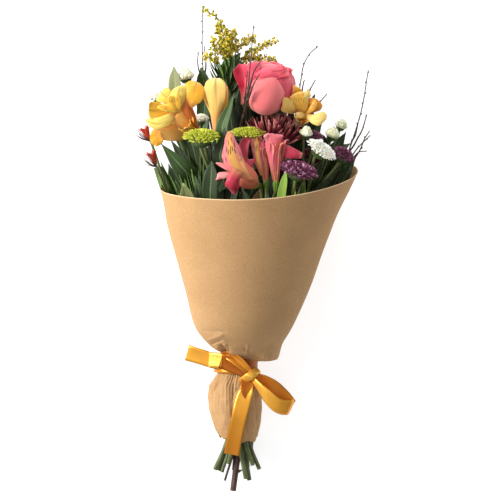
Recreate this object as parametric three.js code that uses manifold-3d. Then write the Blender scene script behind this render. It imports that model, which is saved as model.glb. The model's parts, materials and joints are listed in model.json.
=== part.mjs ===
// A hand-tied mixed flower bouquet in a kraft paper wrap, lying on its back on a flat surface.
// Millimetres, +Z up from the surface. +Y runs along the bouquet from the cut stems to the flowers,
// +X to its right as seen from above. Nineteen stems pass through one binding at the waist, the paper
// wrap is gathered over it, and a satin ribbon is tied round the paper.

import * as THREE from "three";
import { mergeVertices } from "three/addons/utils/BufferGeometryUtils.js";
import Module from "manifold-3d";

const wasm = await Module();
wasm.setup();

// ---------------------------------------------------------------- driving dimensions
const GAP = 0.3; // between pieces that touch
const CENTRING = [-4, 1, 0]; // brings the origin under the middle of the bouquet
const TIE = { x: -14.5, y: -119, z: 20.6, wide: 1, high: 1 }; // where the stems are bound
const SKIRT = { x: -14, y: -157, z: 20.8, wide: 1.14, high: 1.12 }; // inside the paper below the tie
const HEM = { x: -13, y: -195, z: 21, wide: 1.32, high: 1.2 }; // lower edge of the paper
const CUT = { x: -14, y: -240, z: 20, wide: 1.75, high: 1.3 }; // spread of the cut ends

const BINDING = { thickness: 1.1, width: 8 };
const PAPER = 1; // thickness of the wrap, which is more where its folds are gathered
const WRAP_SEGMENTS = 32;
const FLATTEN = 2.6; // exponent of the wrap's underside in section: 2 is round
const RIBBON = { width: 14, thickness: 0.9, inner: 19, slack: 5 };

const COLOURS = {
  kraft: 0xc89a6b,
  ribbon: 0xe0952a,
  raffia: 0xa98d5c,
  green: 0x4f6b2c,
  darkGreen: 0x2c4526,
  paleGreen: 0x8fae55,
  bark: 0x4a3428,
  coral: 0xe8626c,
  yellow: 0xf6c945,
  gold: 0xe8a52c,
  pink: 0xe0707a,
  lime: 0xb9d22b,
  plum: 0x6f2148,
  wine: 0x7c2530,
  cream: 0xf4f2dc,
  goldenrod: 0xd3b52a,
  scarlet: 0xc8402c,
};

const material = (colour, roughness = 0.7) =>
  new THREE.MeshStandardMaterial({ color: colour, roughness, metalness: 0 });

const bouquet = new THREE.Group();

function add(name, geometry, colour, roughness) {
  const mesh = new THREE.Mesh(geometry.translate(...CENTRING), material(colour, roughness));
  mesh.name = name;
  bouquet.add(mesh);
  return mesh;
}

// ---------------------------------------------------------------- shaping helpers
const vec = (p) => new THREE.Vector3(...p);
const through = (points) => new THREE.CatmullRomCurve3(points.map(vec), false, "centripetal");

// Bends a geometry that stands on y = 0 to 1 along a curve. Its x runs towards side, and its z
// towards the face of the bent strip.
function bent(geometry, curve, side = [1, 0, 0]) {
  const place = geometry.attributes.position;
  const hint = vec(side);
  for (let i = 0; i < place.count; i += 1) {
    const share = THREE.MathUtils.clamp(place.getY(i), 0, 1);
    const tangent = curve.getTangentAt(share);
    const face = new THREE.Vector3().crossVectors(hint, tangent).normalize();
    const across = new THREE.Vector3().crossVectors(tangent, face);
    const point = curve
      .getPointAt(share)
      .addScaledVector(across, place.getX(i))
      .addScaledVector(face, place.getZ(i));
    place.setXYZ(i, point.x, point.y, point.z);
  }
  return geometry;
}

// A round stem along points, from radius at its foot to tip at its end.
function stalk(points, radius, tip = radius, sides = 7, steps = 10) {
  const round = new THREE.CylinderGeometry(tip, radius, 1, sides, steps).translate(0, 0.5, 0);
  return bent(round, through(points));
}

// A pointed blade, such as a leaf, along points.
function blade(points, width, side, thickness = 1.2) {
  const lens = new THREE.SphereGeometry(0.5, 6, 8).translate(0, 0.5, 0).scale(width, 1, thickness);
  const place = lens.attributes.position;
  for (let i = 0; i < place.count; i += 1) {
    place.setX(i, place.getX(i) * Math.min(1, 0.15 + 2.4 * place.getY(i)));
  }
  return bent(lens, through(points), side);
}

// A flat strip along points, standing across side.
function strip(points, width, side, steps = 8, thickness = RIBBON.thickness) {
  const flat = new THREE.BoxGeometry(width, 1, thickness, 1, steps, 1).translate(0, 0.5, 0);
  return bent(flat, through(points), side);
}

// A solid of revolution about +Y. The profile is [radius, height] from the foot to the top.
const turned = (profile, segments) =>
  new THREE.LatheGeometry(profile.map(([r, y]) => new THREE.Vector2(r, y)), segments);

// Pushes a turned flower out and in round its axis, more towards its top.
function lobed(geometry, lobes, depth, height) {
  const place = geometry.attributes.position;
  for (let i = 0; i < place.count; i += 1) {
    const angle = Math.atan2(place.getZ(i), place.getX(i));
    const grow = 1 + depth * Math.cos(lobes * angle) * (place.getY(i) / height) ** 2;
    place.setX(i, place.getX(i) * grow);
    place.setZ(i, place.getZ(i) * grow);
  }
  return geometry;
}

// One closed surface, with only positions, so that manifold-3d reads it.
function solid(geometry) {
  const bare = geometry.clone();
  bare.deleteAttribute("normal");
  bare.deleteAttribute("uv");
  const merged = mergeVertices(bare, 1e-4);
  return new wasm.Manifold(
    new wasm.Mesh({
      numProp: 3,
      vertProperties: new Float32Array(merged.attributes.position.array),
      triVerts: new Uint32Array(merged.index.array),
    }),
  );
}

function geometryOf(manifold) {
  const mesh = manifold.getMesh();
  return new THREE.BufferGeometry()
    .setAttribute("position", new THREE.BufferAttribute(mesh.vertProperties, 3))
    .setIndex(new THREE.BufferAttribute(mesh.triVerts, 1));
}

const joined = (geometries) =>
  geometryOf(geometries.map(solid).reduce((sum, next) => sum.add(next)));

// Seats a flower that stands on its origin at the end of a stem, facing along facing.
function seated(geometry, base, facing) {
  const turn = new THREE.Quaternion().setFromUnitVectors(
    new THREE.Vector3(0, 1, 0),
    vec(facing).normalize(),
  );
  const foot = vec(base).addScaledVector(vec(facing).normalize(), GAP);
  return geometry.applyQuaternion(turn).translate(foot.x, foot.y, foot.z);
}

// ---------------------------------------------------------------- kraft paper wrap
// Stations from the hem to the mouth: y, centre x, half width, centre z, height above the centre and
// depth below it. Where the depth reaches under the surface, the paper lies flat on it. lean drops
// the front of the paper, and rise lifts its right side. folds is its thickness where it is gathered.
const WRAP = [
  { y: -195, x: -13, wide: 18.6, z: 21, high: 17.8, deep: 17.5, lean: 0, rise: 0 },
  { y: -176, x: -15.5, wide: 24, z: 22, high: 20.5, deep: 21, lean: 0, rise: 0 },
  { y: -152, x: -17, wide: 26.5, z: 22.5, high: 22.5, deep: 24.5, lean: 0, rise: 0 },
  { y: -137, x: -17.5, wide: 24.5, z: 21.5, high: 21, deep: 22, lean: 0, rise: 0, folds: 2.2 },
  { y: -128, x: -14.5, wide: 18.6, z: 20.6, high: 18.6, deep: 18.6, lean: 0, rise: 0, folds: 4, tied: true },
  { y: -111.5, x: -14.5, wide: 18.4, z: 20.6, high: 18.4, deep: 18.4, lean: 0, rise: 0, folds: 4, tied: true },
  { y: -106, x: -9, wide: 32, z: 27, high: 26, deep: 28, lean: 0, rise: 0, folds: 2.2 },
  { y: -95, x: -7.6, wide: 41, z: 32, high: 34, deep: 34, lean: 0.05, rise: 0 },
  { y: -76, x: -7.6, wide: 51, z: 39, high: 43, deep: 41, lean: 0.1, rise: 0.02 },
  { y: -39, x: -3.5, wide: 63, z: 48, high: 52, deep: 50, lean: 0.18, rise: 0.04 },
  { y: -2, x: -2, wide: 74, z: 56, high: 60, deep: 58, lean: 0.25, rise: 0.06 },
  { y: 34, x: 0.5, wide: 85.5, z: 63, high: 68, deep: 65, lean: 0.3, rise: 0.08 },
  { y: 77.5, x: 7, wide: 98.5, z: 72, high: 78, deep: 74.5, lean: 0.333, rise: 0.097 },
];

// A point of the wrap's surface, inset by the paper's thickness on its inside.
function wrapPoint(station, angle, inside) {
  const inset = inside ? (station.folds ?? PAPER) : 0;
  const cos = Math.cos(angle);
  const sin = Math.sin(angle);
  const power = sin < 0 && !station.tied ? 2 / FLATTEN : 1;
  const reach = station.wide - inset;
  const x = reach * Math.sign(cos) * Math.abs(cos) ** power;
  const z =
    sin < 0
      ? Math.max(inset - station.z, -(station.deep - inset) * Math.abs(sin) ** power)
      : (station.high - inset) * sin;
  return [station.x + x, station.y + station.rise * x - station.lean * z, station.z + z];
}

// The paper as one closed surface: up its outside, over the rim and down its inside.
function wrap() {
  const rings = [
    ...WRAP.map((station) => [station, false]),
    ...[...WRAP].reverse().map((station) => [station, true]),
  ];
  const points = [];
  const faces = [];
  rings.forEach(([station, inside]) => {
    for (let i = 0; i < WRAP_SEGMENTS; i += 1) {
      points.push(...wrapPoint(station, (2 * Math.PI * i) / WRAP_SEGMENTS, inside));
    }
  });
  for (let ring = 0; ring < rings.length; ring += 1) {
    for (let i = 0; i < WRAP_SEGMENTS; i += 1) {
      const next = (i + 1) % WRAP_SEGMENTS;
      const low = ring * WRAP_SEGMENTS;
      const up = ((ring + 1) % rings.length) * WRAP_SEGMENTS;
      faces.push(low + i, up + next, low + next, low + i, up + i, up + next);
    }
  }
  return new THREE.BufferGeometry()
    .setAttribute("position", new THREE.Float32BufferAttribute(points, 3))
    .setIndex(faces);
}
add("kraft_paper_wrap", wrap(), COLOURS.kraft, 0.85);

// ---------------------------------------------------------------- binding and ribbon
// A band round the bouquet's axis at the tie.
function band(inner, outer, width) {
  const profile = [
    [inner, -width / 2],
    [outer, -width / 2],
    [outer, width / 2],
    [inner, width / 2],
    [inner, -width / 2],
  ];
  return turned(profile, WRAP_SEGMENTS);
}
// The ribbon is one strip: a turn round the waist that stands off the paper on the left, a knot on
// the front, one loop to the right, one tail down over the skirt and one tail to the left.
function ribbon() {
  const turn = band(RIBBON.inner, RIBBON.inner + RIBBON.thickness, RIBBON.width);
  const place = turn.attributes.position;
  for (let i = 0; i < place.count; i += 1) {
    const left = Math.max(0, -place.getX(i) / RIBBON.inner);
    place.setX(i, place.getX(i) - RIBBON.slack * left ** 2);
  }
  turn.translate(TIE.x, TIE.y - 0.6, TIE.z);
  const knot = new THREE.SphereGeometry(1, 10, 8).scale(7.5, 8, 5).translate(-4, -123.5, 42.3);
  const loop = strip(
    [[-4, -123, 45], [12, -131, 47], [29, -141, 45], [40, -152, 39], [37, -158, 34], [24, -150, 37],
      [8, -136, 43], [-2, -128, 43]],
    12, [0.45, 0.6, 0.66], 16,
  );
  const tail = strip(
    [[-4, -127, 46], [-7, -145, 48.5], [-11, -165, 48], [-15.5, -188, 44], [-19.5, -211, 39.5]],
    14, [1, -0.15, 0], 8,
  );
  const end = strip(
    [[-39, -119, 23], [-45, -117.5, 27], [-56, -113, 29], [-67, -109.5, 28]], 15, [0.25, 1, 0], 4,
  );
  return joined([turn, knot, loop, tail, end]);
}
add("satin_ribbon", ribbon(), COLOURS.ribbon, 0.35);

// ---------------------------------------------------------------- stems
// Places of the stems in the binding. Each stem is pushed in towards the bouquet's axis from its own
// side until it meets those already there.
const placed = [];
function pushIn(degrees, radius) {
  const angle = THREE.MathUtils.degToRad(degrees);
  const clear = (x, z) =>
    placed.every((other) => Math.hypot(x - other.x, z - other.z) >= radius + other.radius + GAP);
  let reach = 0;
  while (!clear(reach * Math.cos(angle), reach * Math.sin(angle))) reach += 0.05;
  placed.push({ x: reach * Math.cos(angle), z: reach * Math.sin(angle), radius });
  return placed[placed.length - 1];
}

// A stem's place, spread by the bundle's scale there.
const bundled = (slot, where, y = where.y) => [
  where.x + slot.x * where.wide,
  y,
  where.z + slot.z * where.high,
];

// A direction, and the point that far behind an end along it.
const behind = (point, facing, reach) => {
  const unit = vec(facing).normalize();
  return vec(point).addScaledVector(unit, -reach).toArray();
};

// Where each flower sits on its stem, and which way it faces.
const SEATS = {
  rose: { at: [12, 130, 87], facing: [0.03, 0.93, 0.36] },
  yellow_open: { at: [-53, 113, 82], facing: [-0.55, 0.5, 0.67] },
  yellow_side: { at: [-33, 112, 90], facing: [-0.05, 0.96, 0.27] },
  golden: { at: [45, 124, 61], facing: [0.45, 0.6, 0.66] },
  pink_open: { at: [4, 64, 110], facing: [-0.5, 0.36, 0.79] },
  pink_middle: { at: [13.5, 66, 105], facing: [-0.1, 0.96, 0.26] },
  pink_right: { at: [23, 65, 111], facing: [0.02, 0.95, 0.3] },
  wine_middle: { at: [26, 90, 74], facing: [0.05, 0.92, 0.38] },
  wine_right: { at: [53, 81, 61], facing: [0.3, 0.82, 0.48] },
  green_left: { at: [-48.5, 104, 121], facing: [0, 0.88, 0.47] },
  green_right: { at: [-4.5, 108, 110], facing: [0, 0.94, 0.34] },
  plum_front: { at: [43.5, 72, 122], facing: [0.1, 0.8, 0.6] },
  plum_back: { at: [60, 103, 84], facing: [0.15, 0.9, 0.4] },
  plum_right: { at: [87, 89, 92], facing: [0.4, 0.72, 0.56] },
  white_right: { at: [64, 92, 114], facing: [0.52, 0.76, 0.4] },
  white_left: { at: [-51, 128, 74], facing: [0, 0.92, 0.4] },
  white_top: { at: [-88, 149, 72], facing: [-0.45, 0.85, 0.28] },
  scarlet_low: { at: [-95, 84, 86], facing: [-0.35, 0.9, 0.25] },
  scarlet_high: { at: [-102, 110, 78], facing: [-0.4, 0.9, 0.15] },
};
const RUN = 9; // straight run of a stem into its flower

// Each stem: its ring in the binding and the side it comes in from, in degrees, its radius, the y of
// its cut end, the points it passes after the tie, and the seat it ends in or the seats of its
// branches. buds sit on branches of their own: each has its place, facing and radius.
const STEMS = {
  rose: {
    ring: 0, from: 0, radius: 3.1, cut: -246, colour: COLOURS.bark,
    via: [[-9, 0, 46], [-6, 88, 70], [-4, 106, 77]], seat: "rose",
  },
  yellow_alstroemeria: {
    ring: 3, from: 180, radius: 2.4, cut: -228, via: [[-35, -20, 40], [-40, 62, 66]],
    forks: ["yellow_open", "yellow_side"],
  },
  golden_alstroemeria: {
    ring: 1, from: 0, radius: 2.4, cut: -238, via: [[12, 10, 34], [35, 92, 42]], seat: "golden",
  },
  pink_alstroemeria: {
    ring: 2, from: 90, radius: 2.4, cut: -232, via: [[-2, -30, 70], [11, 22, 91]],
    forks: ["pink_open", "pink_middle", "pink_right"],
  },
  wine_chrysanthemum: {
    ring: 1, from: 60, radius: 2.3, cut: -226, via: [[10, -20, 55], [27, 38, 67]],
    forks: ["wine_middle", "wine_right"],
  },
  green_chrysanthemum: {
    ring: 3, from: 120, radius: 2.2, cut: -224, via: [[-22, -30, 66], [-25, 34, 87]],
    forks: ["green_left", "green_right"],
  },
  plum_chrysanthemum: {
    ring: 3, from: 60, radius: 2.2, cut: -227, via: [[14, -30, 68], [36, 24, 86]],
    forks: ["plum_front", "plum_back", "plum_right"],
  },
  white_chrysanthemum: {
    ring: 2, from: 30, radius: 2.1, cut: -230, via: [[24, -25, 55], [52, 32, 70]],
    forks: ["white_right"],
    buds: [[[52, 112, 104], [0.2, 0.9, 0.3], 4.6], [[79, 112, 84], [0.3, 0.9, 0.2], 5.6],
      [[88, 122, 78], [0.3, 0.9, 0.2], 4.6]],
  },
  white_chrysanthemum_left: {
    ring: 2, from: 210, radius: 2.1, cut: -223, via: [[-39, -20, 32], [-52, 56, 42]],
    forks: ["white_left", "white_top"],
    buds: [[[-65, 168, 66], [-0.1, 0.97, 0.2], 4.2]],
  },
  goldenrod: {
    ring: 1, from: 180, radius: 2, cut: -225, colour: COLOURS.green,
    via: [[-25, 0, 42], [-29, 110, 62], [-27, 140, 66]],
  },
  leafy_right: {
    ring: 2, from: 330, radius: 1.9, cut: -221, via: [[38, 0, 36], [70, 70, 52], [84, 101, 62]],
  },
  leafy_back_left: {
    ring: 3, from: 240, radius: 1.9, cut: -222, via: [[-30, -30, 8.5], [-40, 60, 10], [-46, 118, 18]],
  },
  leafy_back: {
    ring: 2, from: 270, radius: 1.9, cut: -229, via: [[-10, -30, 8.5], [-6, 60, 11], [-3, 128, 26]],
  },
  leafy_back_right: {
    ring: 3, from: 300, radius: 1.9, cut: -224, via: [[8, -30, 8.5], [30, 60, 10], [42, 120, 18]],
  },
  scarlet: {
    ring: 2, from: 150, radius: 1.8, cut: -220, via: [[-56, -10, 53], [-80, 45, 68]],
    forks: ["scarlet_low", "scarlet_high"],
  },
};

// Dark bare twigs: a main shoot from its place in the binding, and side shoots from points on it.
const TWIG = { foot: 2.3, tip: 0.6 };
const TWIGS = {
  twig_right: {
    ring: 3, from: 0, cut: -226,
    via: [[52, 0, 44], [86, 70, 56], [97, 98, 60], [110, 140, 62], [117, 181, 62]],
    shoots: [[[86, 70, 56], [100, 94, 62], [119, 113, 66]], [[97, 98, 60], [108, 114, 64], [115, 134, 68]],
      [[85, 68, 56], [104, 96, 66], [116, 98, 70]]],
  },
  twig_top: {
    ring: 1, from: 300, cut: -236,
    via: [[18, 0, 26], [40, 110, 40], [49, 168, 50], [52, 186, 53], [67, 206, 56]],
    shoots: [[[44, 140, 45], [56, 158, 52], [64, 172, 56]], [[42, 122, 42], [66, 146, 52], [76, 158, 56]]],
  },
  twig_front: {
    ring: 1, from: 120, cut: -233,
    via: [[-20, 0, 62], [-16, 90, 80], [-15, 112, 87], [-12, 126, 98], [-8, 142, 122],
      [-4, 180, 132], [2, 214, 132]],
    shoots: [[[-7.5, 146, 124], [-1, 160, 132], [6, 178, 135]]],
  },
  twig_left: {
    ring: 1, from: 240, cut: -231,
    via: [[-34, 0, 26], [-42, 100, 38], [-46, 150, 46], [-50, 192, 56], [-50, 244, 60]],
    shoots: [[[-47, 160, 48], [-54, 184, 54], [-54, 200, 58]]],
  },
};

const inTheBinding = [...Object.values(STEMS), ...Object.values(TWIGS)];
const atTie = (radius) => 0.98 * (radius ?? 0.85 * TWIG.foot);
inTheBinding.sort((a, b) => a.ring - b.ring);
for (const spec of inTheBinding) spec.slot = pushIn(spec.from, atTie(spec.radius));

const reaches = placed.map((slot) => Math.hypot(slot.x, slot.z) + slot.radius);
const bundle = Math.max(...reaches) + 2 * GAP;
add(
  "stem_binding",
  band(bundle, bundle + BINDING.thickness, BINDING.width).translate(TIE.x, TIE.y, TIE.z),
  COLOURS.raffia,
);

const GREW = {}; // curve and radius of each stem and branch, for the leaves
const fromCut = (slot, cut) => [
  bundled(slot, CUT, cut),
  bundled(slot, HEM),
  bundled(slot, SKIRT),
  bundled(slot, TIE, TIE.y - BINDING.width / 2),
  bundled(slot, TIE, TIE.y + BINDING.width),
];

// A seat's stem runs straight into the flower.
function intoSeat(from, seat) {
  return [from, behind(seat.at, seat.facing, RUN), seat.at];
}

for (const [name, spec] of Object.entries(STEMS)) {
  const path = [...fromCut(spec.slot, spec.cut), ...spec.via];
  if (spec.seat) path.push(...intoSeat(path.pop(), SEATS[spec.seat]));
  const fork = path[path.length - 1];
  const parts = [stalk(path, spec.radius, spec.radius * 0.85, 6, 18)];
  GREW[name] = { curve: through(path), radius: spec.radius * 0.95 };
  for (const key of spec.forks ?? []) {
    parts.push(stalk(intoSeat(fork, SEATS[key]), spec.radius * 0.75, spec.radius * 0.7, 6, 5));
    GREW[key] = { curve: through(intoSeat(fork, SEATS[key])), radius: spec.radius * 0.75 };
  }
  for (const [at, facing, radius] of spec.buds ?? []) {
    parts.push(stalk([fork, behind(at, facing, RUN), at], 1.1, 1, 5, 5));
    parts.push(new THREE.SphereGeometry(radius, 7, 5).translate(...at));
  }
  add(`${name}_stem`, parts.length > 1 ? joined(parts) : parts[0], spec.colour ?? COLOURS.green);
}

for (const [name, spec] of Object.entries(TWIGS)) {
  const path = [...fromCut(spec.slot, spec.cut), ...spec.via];
  const shoots = spec.shoots.map((points) => stalk(points, 1, TWIG.tip, 5, 4));
  add(name, joined([stalk(path, TWIG.foot, TWIG.tip, 5, 24), ...shoots]), COLOURS.bark, 0.9);
}

// ---------------------------------------------------------------- flowers
// Rose: a deep cup of overlapping petals, as one solid of its outer shape.
const rose = () =>
  turned(
    [[0, 0], [9, 0.5], [20, 5], [27, 14], [29.5, 26], [29, 38], [25, 47], [18, 51.5], [8, 53], [0, 52]],
    18,
  );

// Alstroemeria: a narrow trumpet of six tepals, open at its mouth.
function alstroemeria(length, mouth, neck = 4.5) {
  const wall = 1.3;
  const profile = [
    [0, 0], [2.6, 0], [neck, length * 0.3], [mouth * 0.42, length * 0.62], [mouth * 0.78, length * 0.86],
    [mouth, length], [mouth - wall, length + 0.4], [mouth * 0.74 - wall, length * 0.88],
    [mouth * 0.4 - wall, length * 0.68], [0, length * 0.5],
  ];
  return lobed(turned(profile, 12), 6, 0.12, length);
}

// Button chrysanthemum: a low dome of short petals on a small green cup.
const button = (radius, height) =>
  turned([[0, 0], [2.5, 0], [radius * 0.55, height * 0.2], [radius, height * 0.45],
    [radius * 0.94, height * 0.66], [radius * 0.6, height * 0.93], [0, height]], 14);

// Spoon chrysanthemum: a deep bowl of long petals.
const spoons = (radius, height) =>
  lobed(turned([[0, 0], [3, 0], [radius * 0.6, height * 0.18], [radius, height * 0.55],
    [radius * 0.92, height * 0.86], [radius * 0.55, height], [0, height * 0.9]], 16), 8, 0.06, height);

// Scarlet bud: a small tapering tube.
const trumpetBud = (radius, length) =>
  turned(
    [[0, 0], [1.2, 0], [radius * 0.6, length * 0.4], [radius, length * 0.85], [radius * 0.5, length],
      [0, length * 0.94]],
    8,
  );

const FLOWERS = [
  ["rose_bloom", "rose", rose(), COLOURS.coral],
  ["yellow_alstroemeria_open_bloom", "yellow_open", alstroemeria(44, 27), COLOURS.yellow],
  ["yellow_alstroemeria_side_bloom", "yellow_side", alstroemeria(52, 10.5), COLOURS.yellow],
  ["golden_alstroemeria_bloom", "golden", alstroemeria(40, 22), COLOURS.gold],
  ["pink_alstroemeria_open_bloom", "pink_open", alstroemeria(40, 25), COLOURS.pink],
  ["pink_alstroemeria_middle_bloom", "pink_middle", alstroemeria(40, 5.2, 3.4), COLOURS.pink],
  ["pink_alstroemeria_right_bloom", "pink_right", alstroemeria(47, 9), COLOURS.pink],
  ["wine_chrysanthemum_bloom", "wine_middle", spoons(25, 22), COLOURS.wine],
  ["wine_chrysanthemum_right_bloom", "wine_right", spoons(12, 17), COLOURS.wine],
  ["green_button_left_bloom", "green_left", button(18, 11), COLOURS.lime],
  ["green_button_right_bloom", "green_right", button(17.5, 11), COLOURS.lime],
  ["plum_button_front_bloom", "plum_front", button(18.5, 11), COLOURS.plum],
  ["plum_button_back_bloom", "plum_back", button(12, 9), COLOURS.plum],
  ["plum_button_right_bloom", "plum_right", button(11.5, 10), COLOURS.plum],
  ["white_button_right_bloom", "white_right", button(17, 10), COLOURS.cream],
  ["white_button_left_bloom", "white_left", button(7, 8), COLOURS.cream],
  ["white_button_top_bloom", "white_top", button(11, 9), COLOURS.cream],
  ["scarlet_low_bloom", "scarlet_low", trumpetBud(5.5, 14), COLOURS.scarlet],
  ["scarlet_high_bloom", "scarlet_high", trumpetBud(5, 13), COLOURS.scarlet],
];
for (const [name, key, geometry, colour] of FLOWERS) {
  add(name, seated(geometry, SEATS[key].at, SEATS[key].facing), colour, 0.6);
}

// Goldenrod: a leaning plume with arching side sprays, thick with small florets.
const plume = (points, width) => {
  const full = new THREE.SphereGeometry(0.5, 7, 8).translate(0, 0.5, 0);
  return bent(full.scale(width, 1, width * 0.9), through(points));
};
add(
  "goldenrod_plume",
  joined([
    plume([[-27, 140.4, 66.1], [-25, 172, 74], [-30, 212, 78], [-49, 237, 78]], 13),
    plume([[-26, 150, 69], [-36, 176, 72], [-50, 194, 70]], 9),
    plume([[-25, 165, 71], [-14, 196, 66], [-8, 214, 66]], 11),
    plume([[-25, 160, 70], [-6, 190, 60], [22, 207, 62]], 10),
    plume([[-26, 154, 68], [-4, 180, 54], [24, 191, 52]], 9),
  ]),
  COLOURS.goldenrod,
);

// ---------------------------------------------------------------- leaves
// Each leaf grows from a stem at the height y, bends through mid and ends at tip.
const LEAVES = [
  ["leaf_left_broad", "yellow_alstroemeria", 44, [-66, 78, 94], [-89, 104, 99], 21, [0.5, 0.8, 0.2]],
  ["leaf_left_bright", "yellow_alstroemeria", 20, [-60, 52, 74], [-78, 88, 83], 10, [0.9, 0.4, 0]],
  ["leaf_left_outer", "scarlet", 8, [-76, 48, 61], [-92, 90, 68], 9, [0.9, 0.4, 0]],
  ["leaf_left_pale", "yellow_alstroemeria", 0, [-56, 34, 90], [-66, 66, 108], 12, [0.9, 0.2, 0.3]],
  ["leaf_centre_round", "green_chrysanthemum", 10, [-40, 48, 104], [-39, 86, 114], 17, [0.9, 0, 0.4]],
  ["leaf_centre_dark", "green_right", 62, [-31, 88, 112], [-26, 118, 118], 15, [0.9, 0, 0.4]],
  ["leaf_centre_lance", "green_right", 78, [-29, 116, 107], [-17, 153, 110], 13, [0.9, -0.3, 0.3]],
  ["leaf_top_pale", "white_top", 108, [-71, 150, 66], [-77, 182, 70], 10, [1, 0, 0.2]],
  ["leaf_top_dark", "white_left", 92, [-47, 150, 54], [-50, 184, 58], 13, [1, 0, 0.2]],
  ["leaf_front_left_blade", "plum_chrysanthemum", 4, [30, 44, 108], [29, 78, 118], 9, [0.8, 0, 0.6]],
  ["leaf_front_right_blade", "plum_front", 32, [49, 50, 106], [51, 70, 112], 8, [0.8, 0, 0.6]],
  ["leaf_right_blue", "leafy_right", 66, [80, 94, 68], [94, 118, 70], 17, [0.8, -0.5, 0.2]],
  ["leaf_right_low", "leafy_right", 26, [74, 58, 80], [98, 90, 86], 10, [0.8, -0.5, 0.3]],
  ["leaf_back_left", "leafy_back_left", 70, [-66, 112, 24], [-88, 148, 36], 22, [0.8, 0.5, 0]],
  ["leaf_back_middle_left", "leafy_back", 74, [-20, 116, 24], [-32, 172, 36], 22, [1, 0, 0]],
  ["leaf_back_middle_right", "leafy_back_right", 66, [26, 118, 24], [20, 172, 36], 22, [1, 0, 0]],
  ["leaf_back_right", "leafy_back_right", 80, [66, 120, 26], [86, 156, 38], 20, [0.8, -0.5, 0]],
];

for (const [name, stem, y, mid, tip, width, across] of LEAVES) {
  const { curve, radius } = GREW[stem];
  const samples = curve.getSpacedPoints(400);
  const near = samples.reduce((best, p) => (Math.abs(p.y - y) < Math.abs(best.y - y) ? p : best));
  const out = vec(mid).sub(near);
  const along = curve.getTangentAt(samples.indexOf(near) / 400);
  out.addScaledVector(along, -out.dot(along)).normalize();
  const foot = near.clone().addScaledVector(out, radius + GAP).toArray();
  add(name, blade([foot, mid, tip], width, across), COLOURS.darkGreen, 0.5);
}

export default bouquet;
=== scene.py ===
import json
import math
import random

import bpy
from mathutils import Matrix, Vector, noise

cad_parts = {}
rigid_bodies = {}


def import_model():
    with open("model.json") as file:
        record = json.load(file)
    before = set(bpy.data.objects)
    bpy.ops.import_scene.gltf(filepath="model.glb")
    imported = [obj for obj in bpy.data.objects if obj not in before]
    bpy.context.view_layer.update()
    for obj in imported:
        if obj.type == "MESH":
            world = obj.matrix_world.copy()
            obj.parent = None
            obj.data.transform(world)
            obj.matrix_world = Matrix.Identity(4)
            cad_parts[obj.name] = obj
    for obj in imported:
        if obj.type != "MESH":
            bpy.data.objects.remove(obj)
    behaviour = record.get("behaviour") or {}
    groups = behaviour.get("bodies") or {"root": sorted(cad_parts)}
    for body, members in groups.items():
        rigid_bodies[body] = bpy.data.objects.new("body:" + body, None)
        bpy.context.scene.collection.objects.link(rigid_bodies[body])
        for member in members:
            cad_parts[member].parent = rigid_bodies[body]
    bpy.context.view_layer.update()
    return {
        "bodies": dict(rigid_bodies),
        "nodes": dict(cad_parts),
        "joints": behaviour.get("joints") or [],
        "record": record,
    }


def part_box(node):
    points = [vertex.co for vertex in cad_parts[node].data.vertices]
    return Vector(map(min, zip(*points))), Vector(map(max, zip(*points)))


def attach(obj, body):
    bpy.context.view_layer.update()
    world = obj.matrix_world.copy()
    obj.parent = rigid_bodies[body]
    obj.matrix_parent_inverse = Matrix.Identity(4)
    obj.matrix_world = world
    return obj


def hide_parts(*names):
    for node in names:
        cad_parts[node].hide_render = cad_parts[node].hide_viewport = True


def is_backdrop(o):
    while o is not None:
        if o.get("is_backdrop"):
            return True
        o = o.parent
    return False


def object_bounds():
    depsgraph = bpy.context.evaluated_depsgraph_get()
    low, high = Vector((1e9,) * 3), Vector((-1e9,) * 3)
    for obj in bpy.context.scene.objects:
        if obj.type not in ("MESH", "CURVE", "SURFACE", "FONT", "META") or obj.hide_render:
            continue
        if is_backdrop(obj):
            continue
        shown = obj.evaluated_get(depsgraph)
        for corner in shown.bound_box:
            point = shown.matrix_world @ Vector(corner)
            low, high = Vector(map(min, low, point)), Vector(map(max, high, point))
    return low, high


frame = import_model()


# ---------------------------------------------------------------- camera, surface and light
# The bouquet lies on its back on a plain pale surface. It is looked at from straight above, so
# that it stands in the picture with its flowers at the top.
camera = bpy.data.objects.new("camera", bpy.data.cameras.new("camera"))
bpy.context.scene.collection.objects.link(camera)
camera.data.lens = 93.6
camera.data.sensor_width = 36
camera.location = (-0.006, 0.001, 1.37)
bpy.context.scene.camera = camera


def colour(code):
    """A shader colour from a usual six-figure paint code. Anything else is left as it is."""
    if not isinstance(code, str):
        return code
    parts = [int(code[i : i + 2], 16) / 255 for i in (0, 2, 4)]
    return tuple(c / 12.92 if c < 0.04045 else ((c + 0.055) / 1.055) ** 2.4 for c in parts) + (1.0,)


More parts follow.
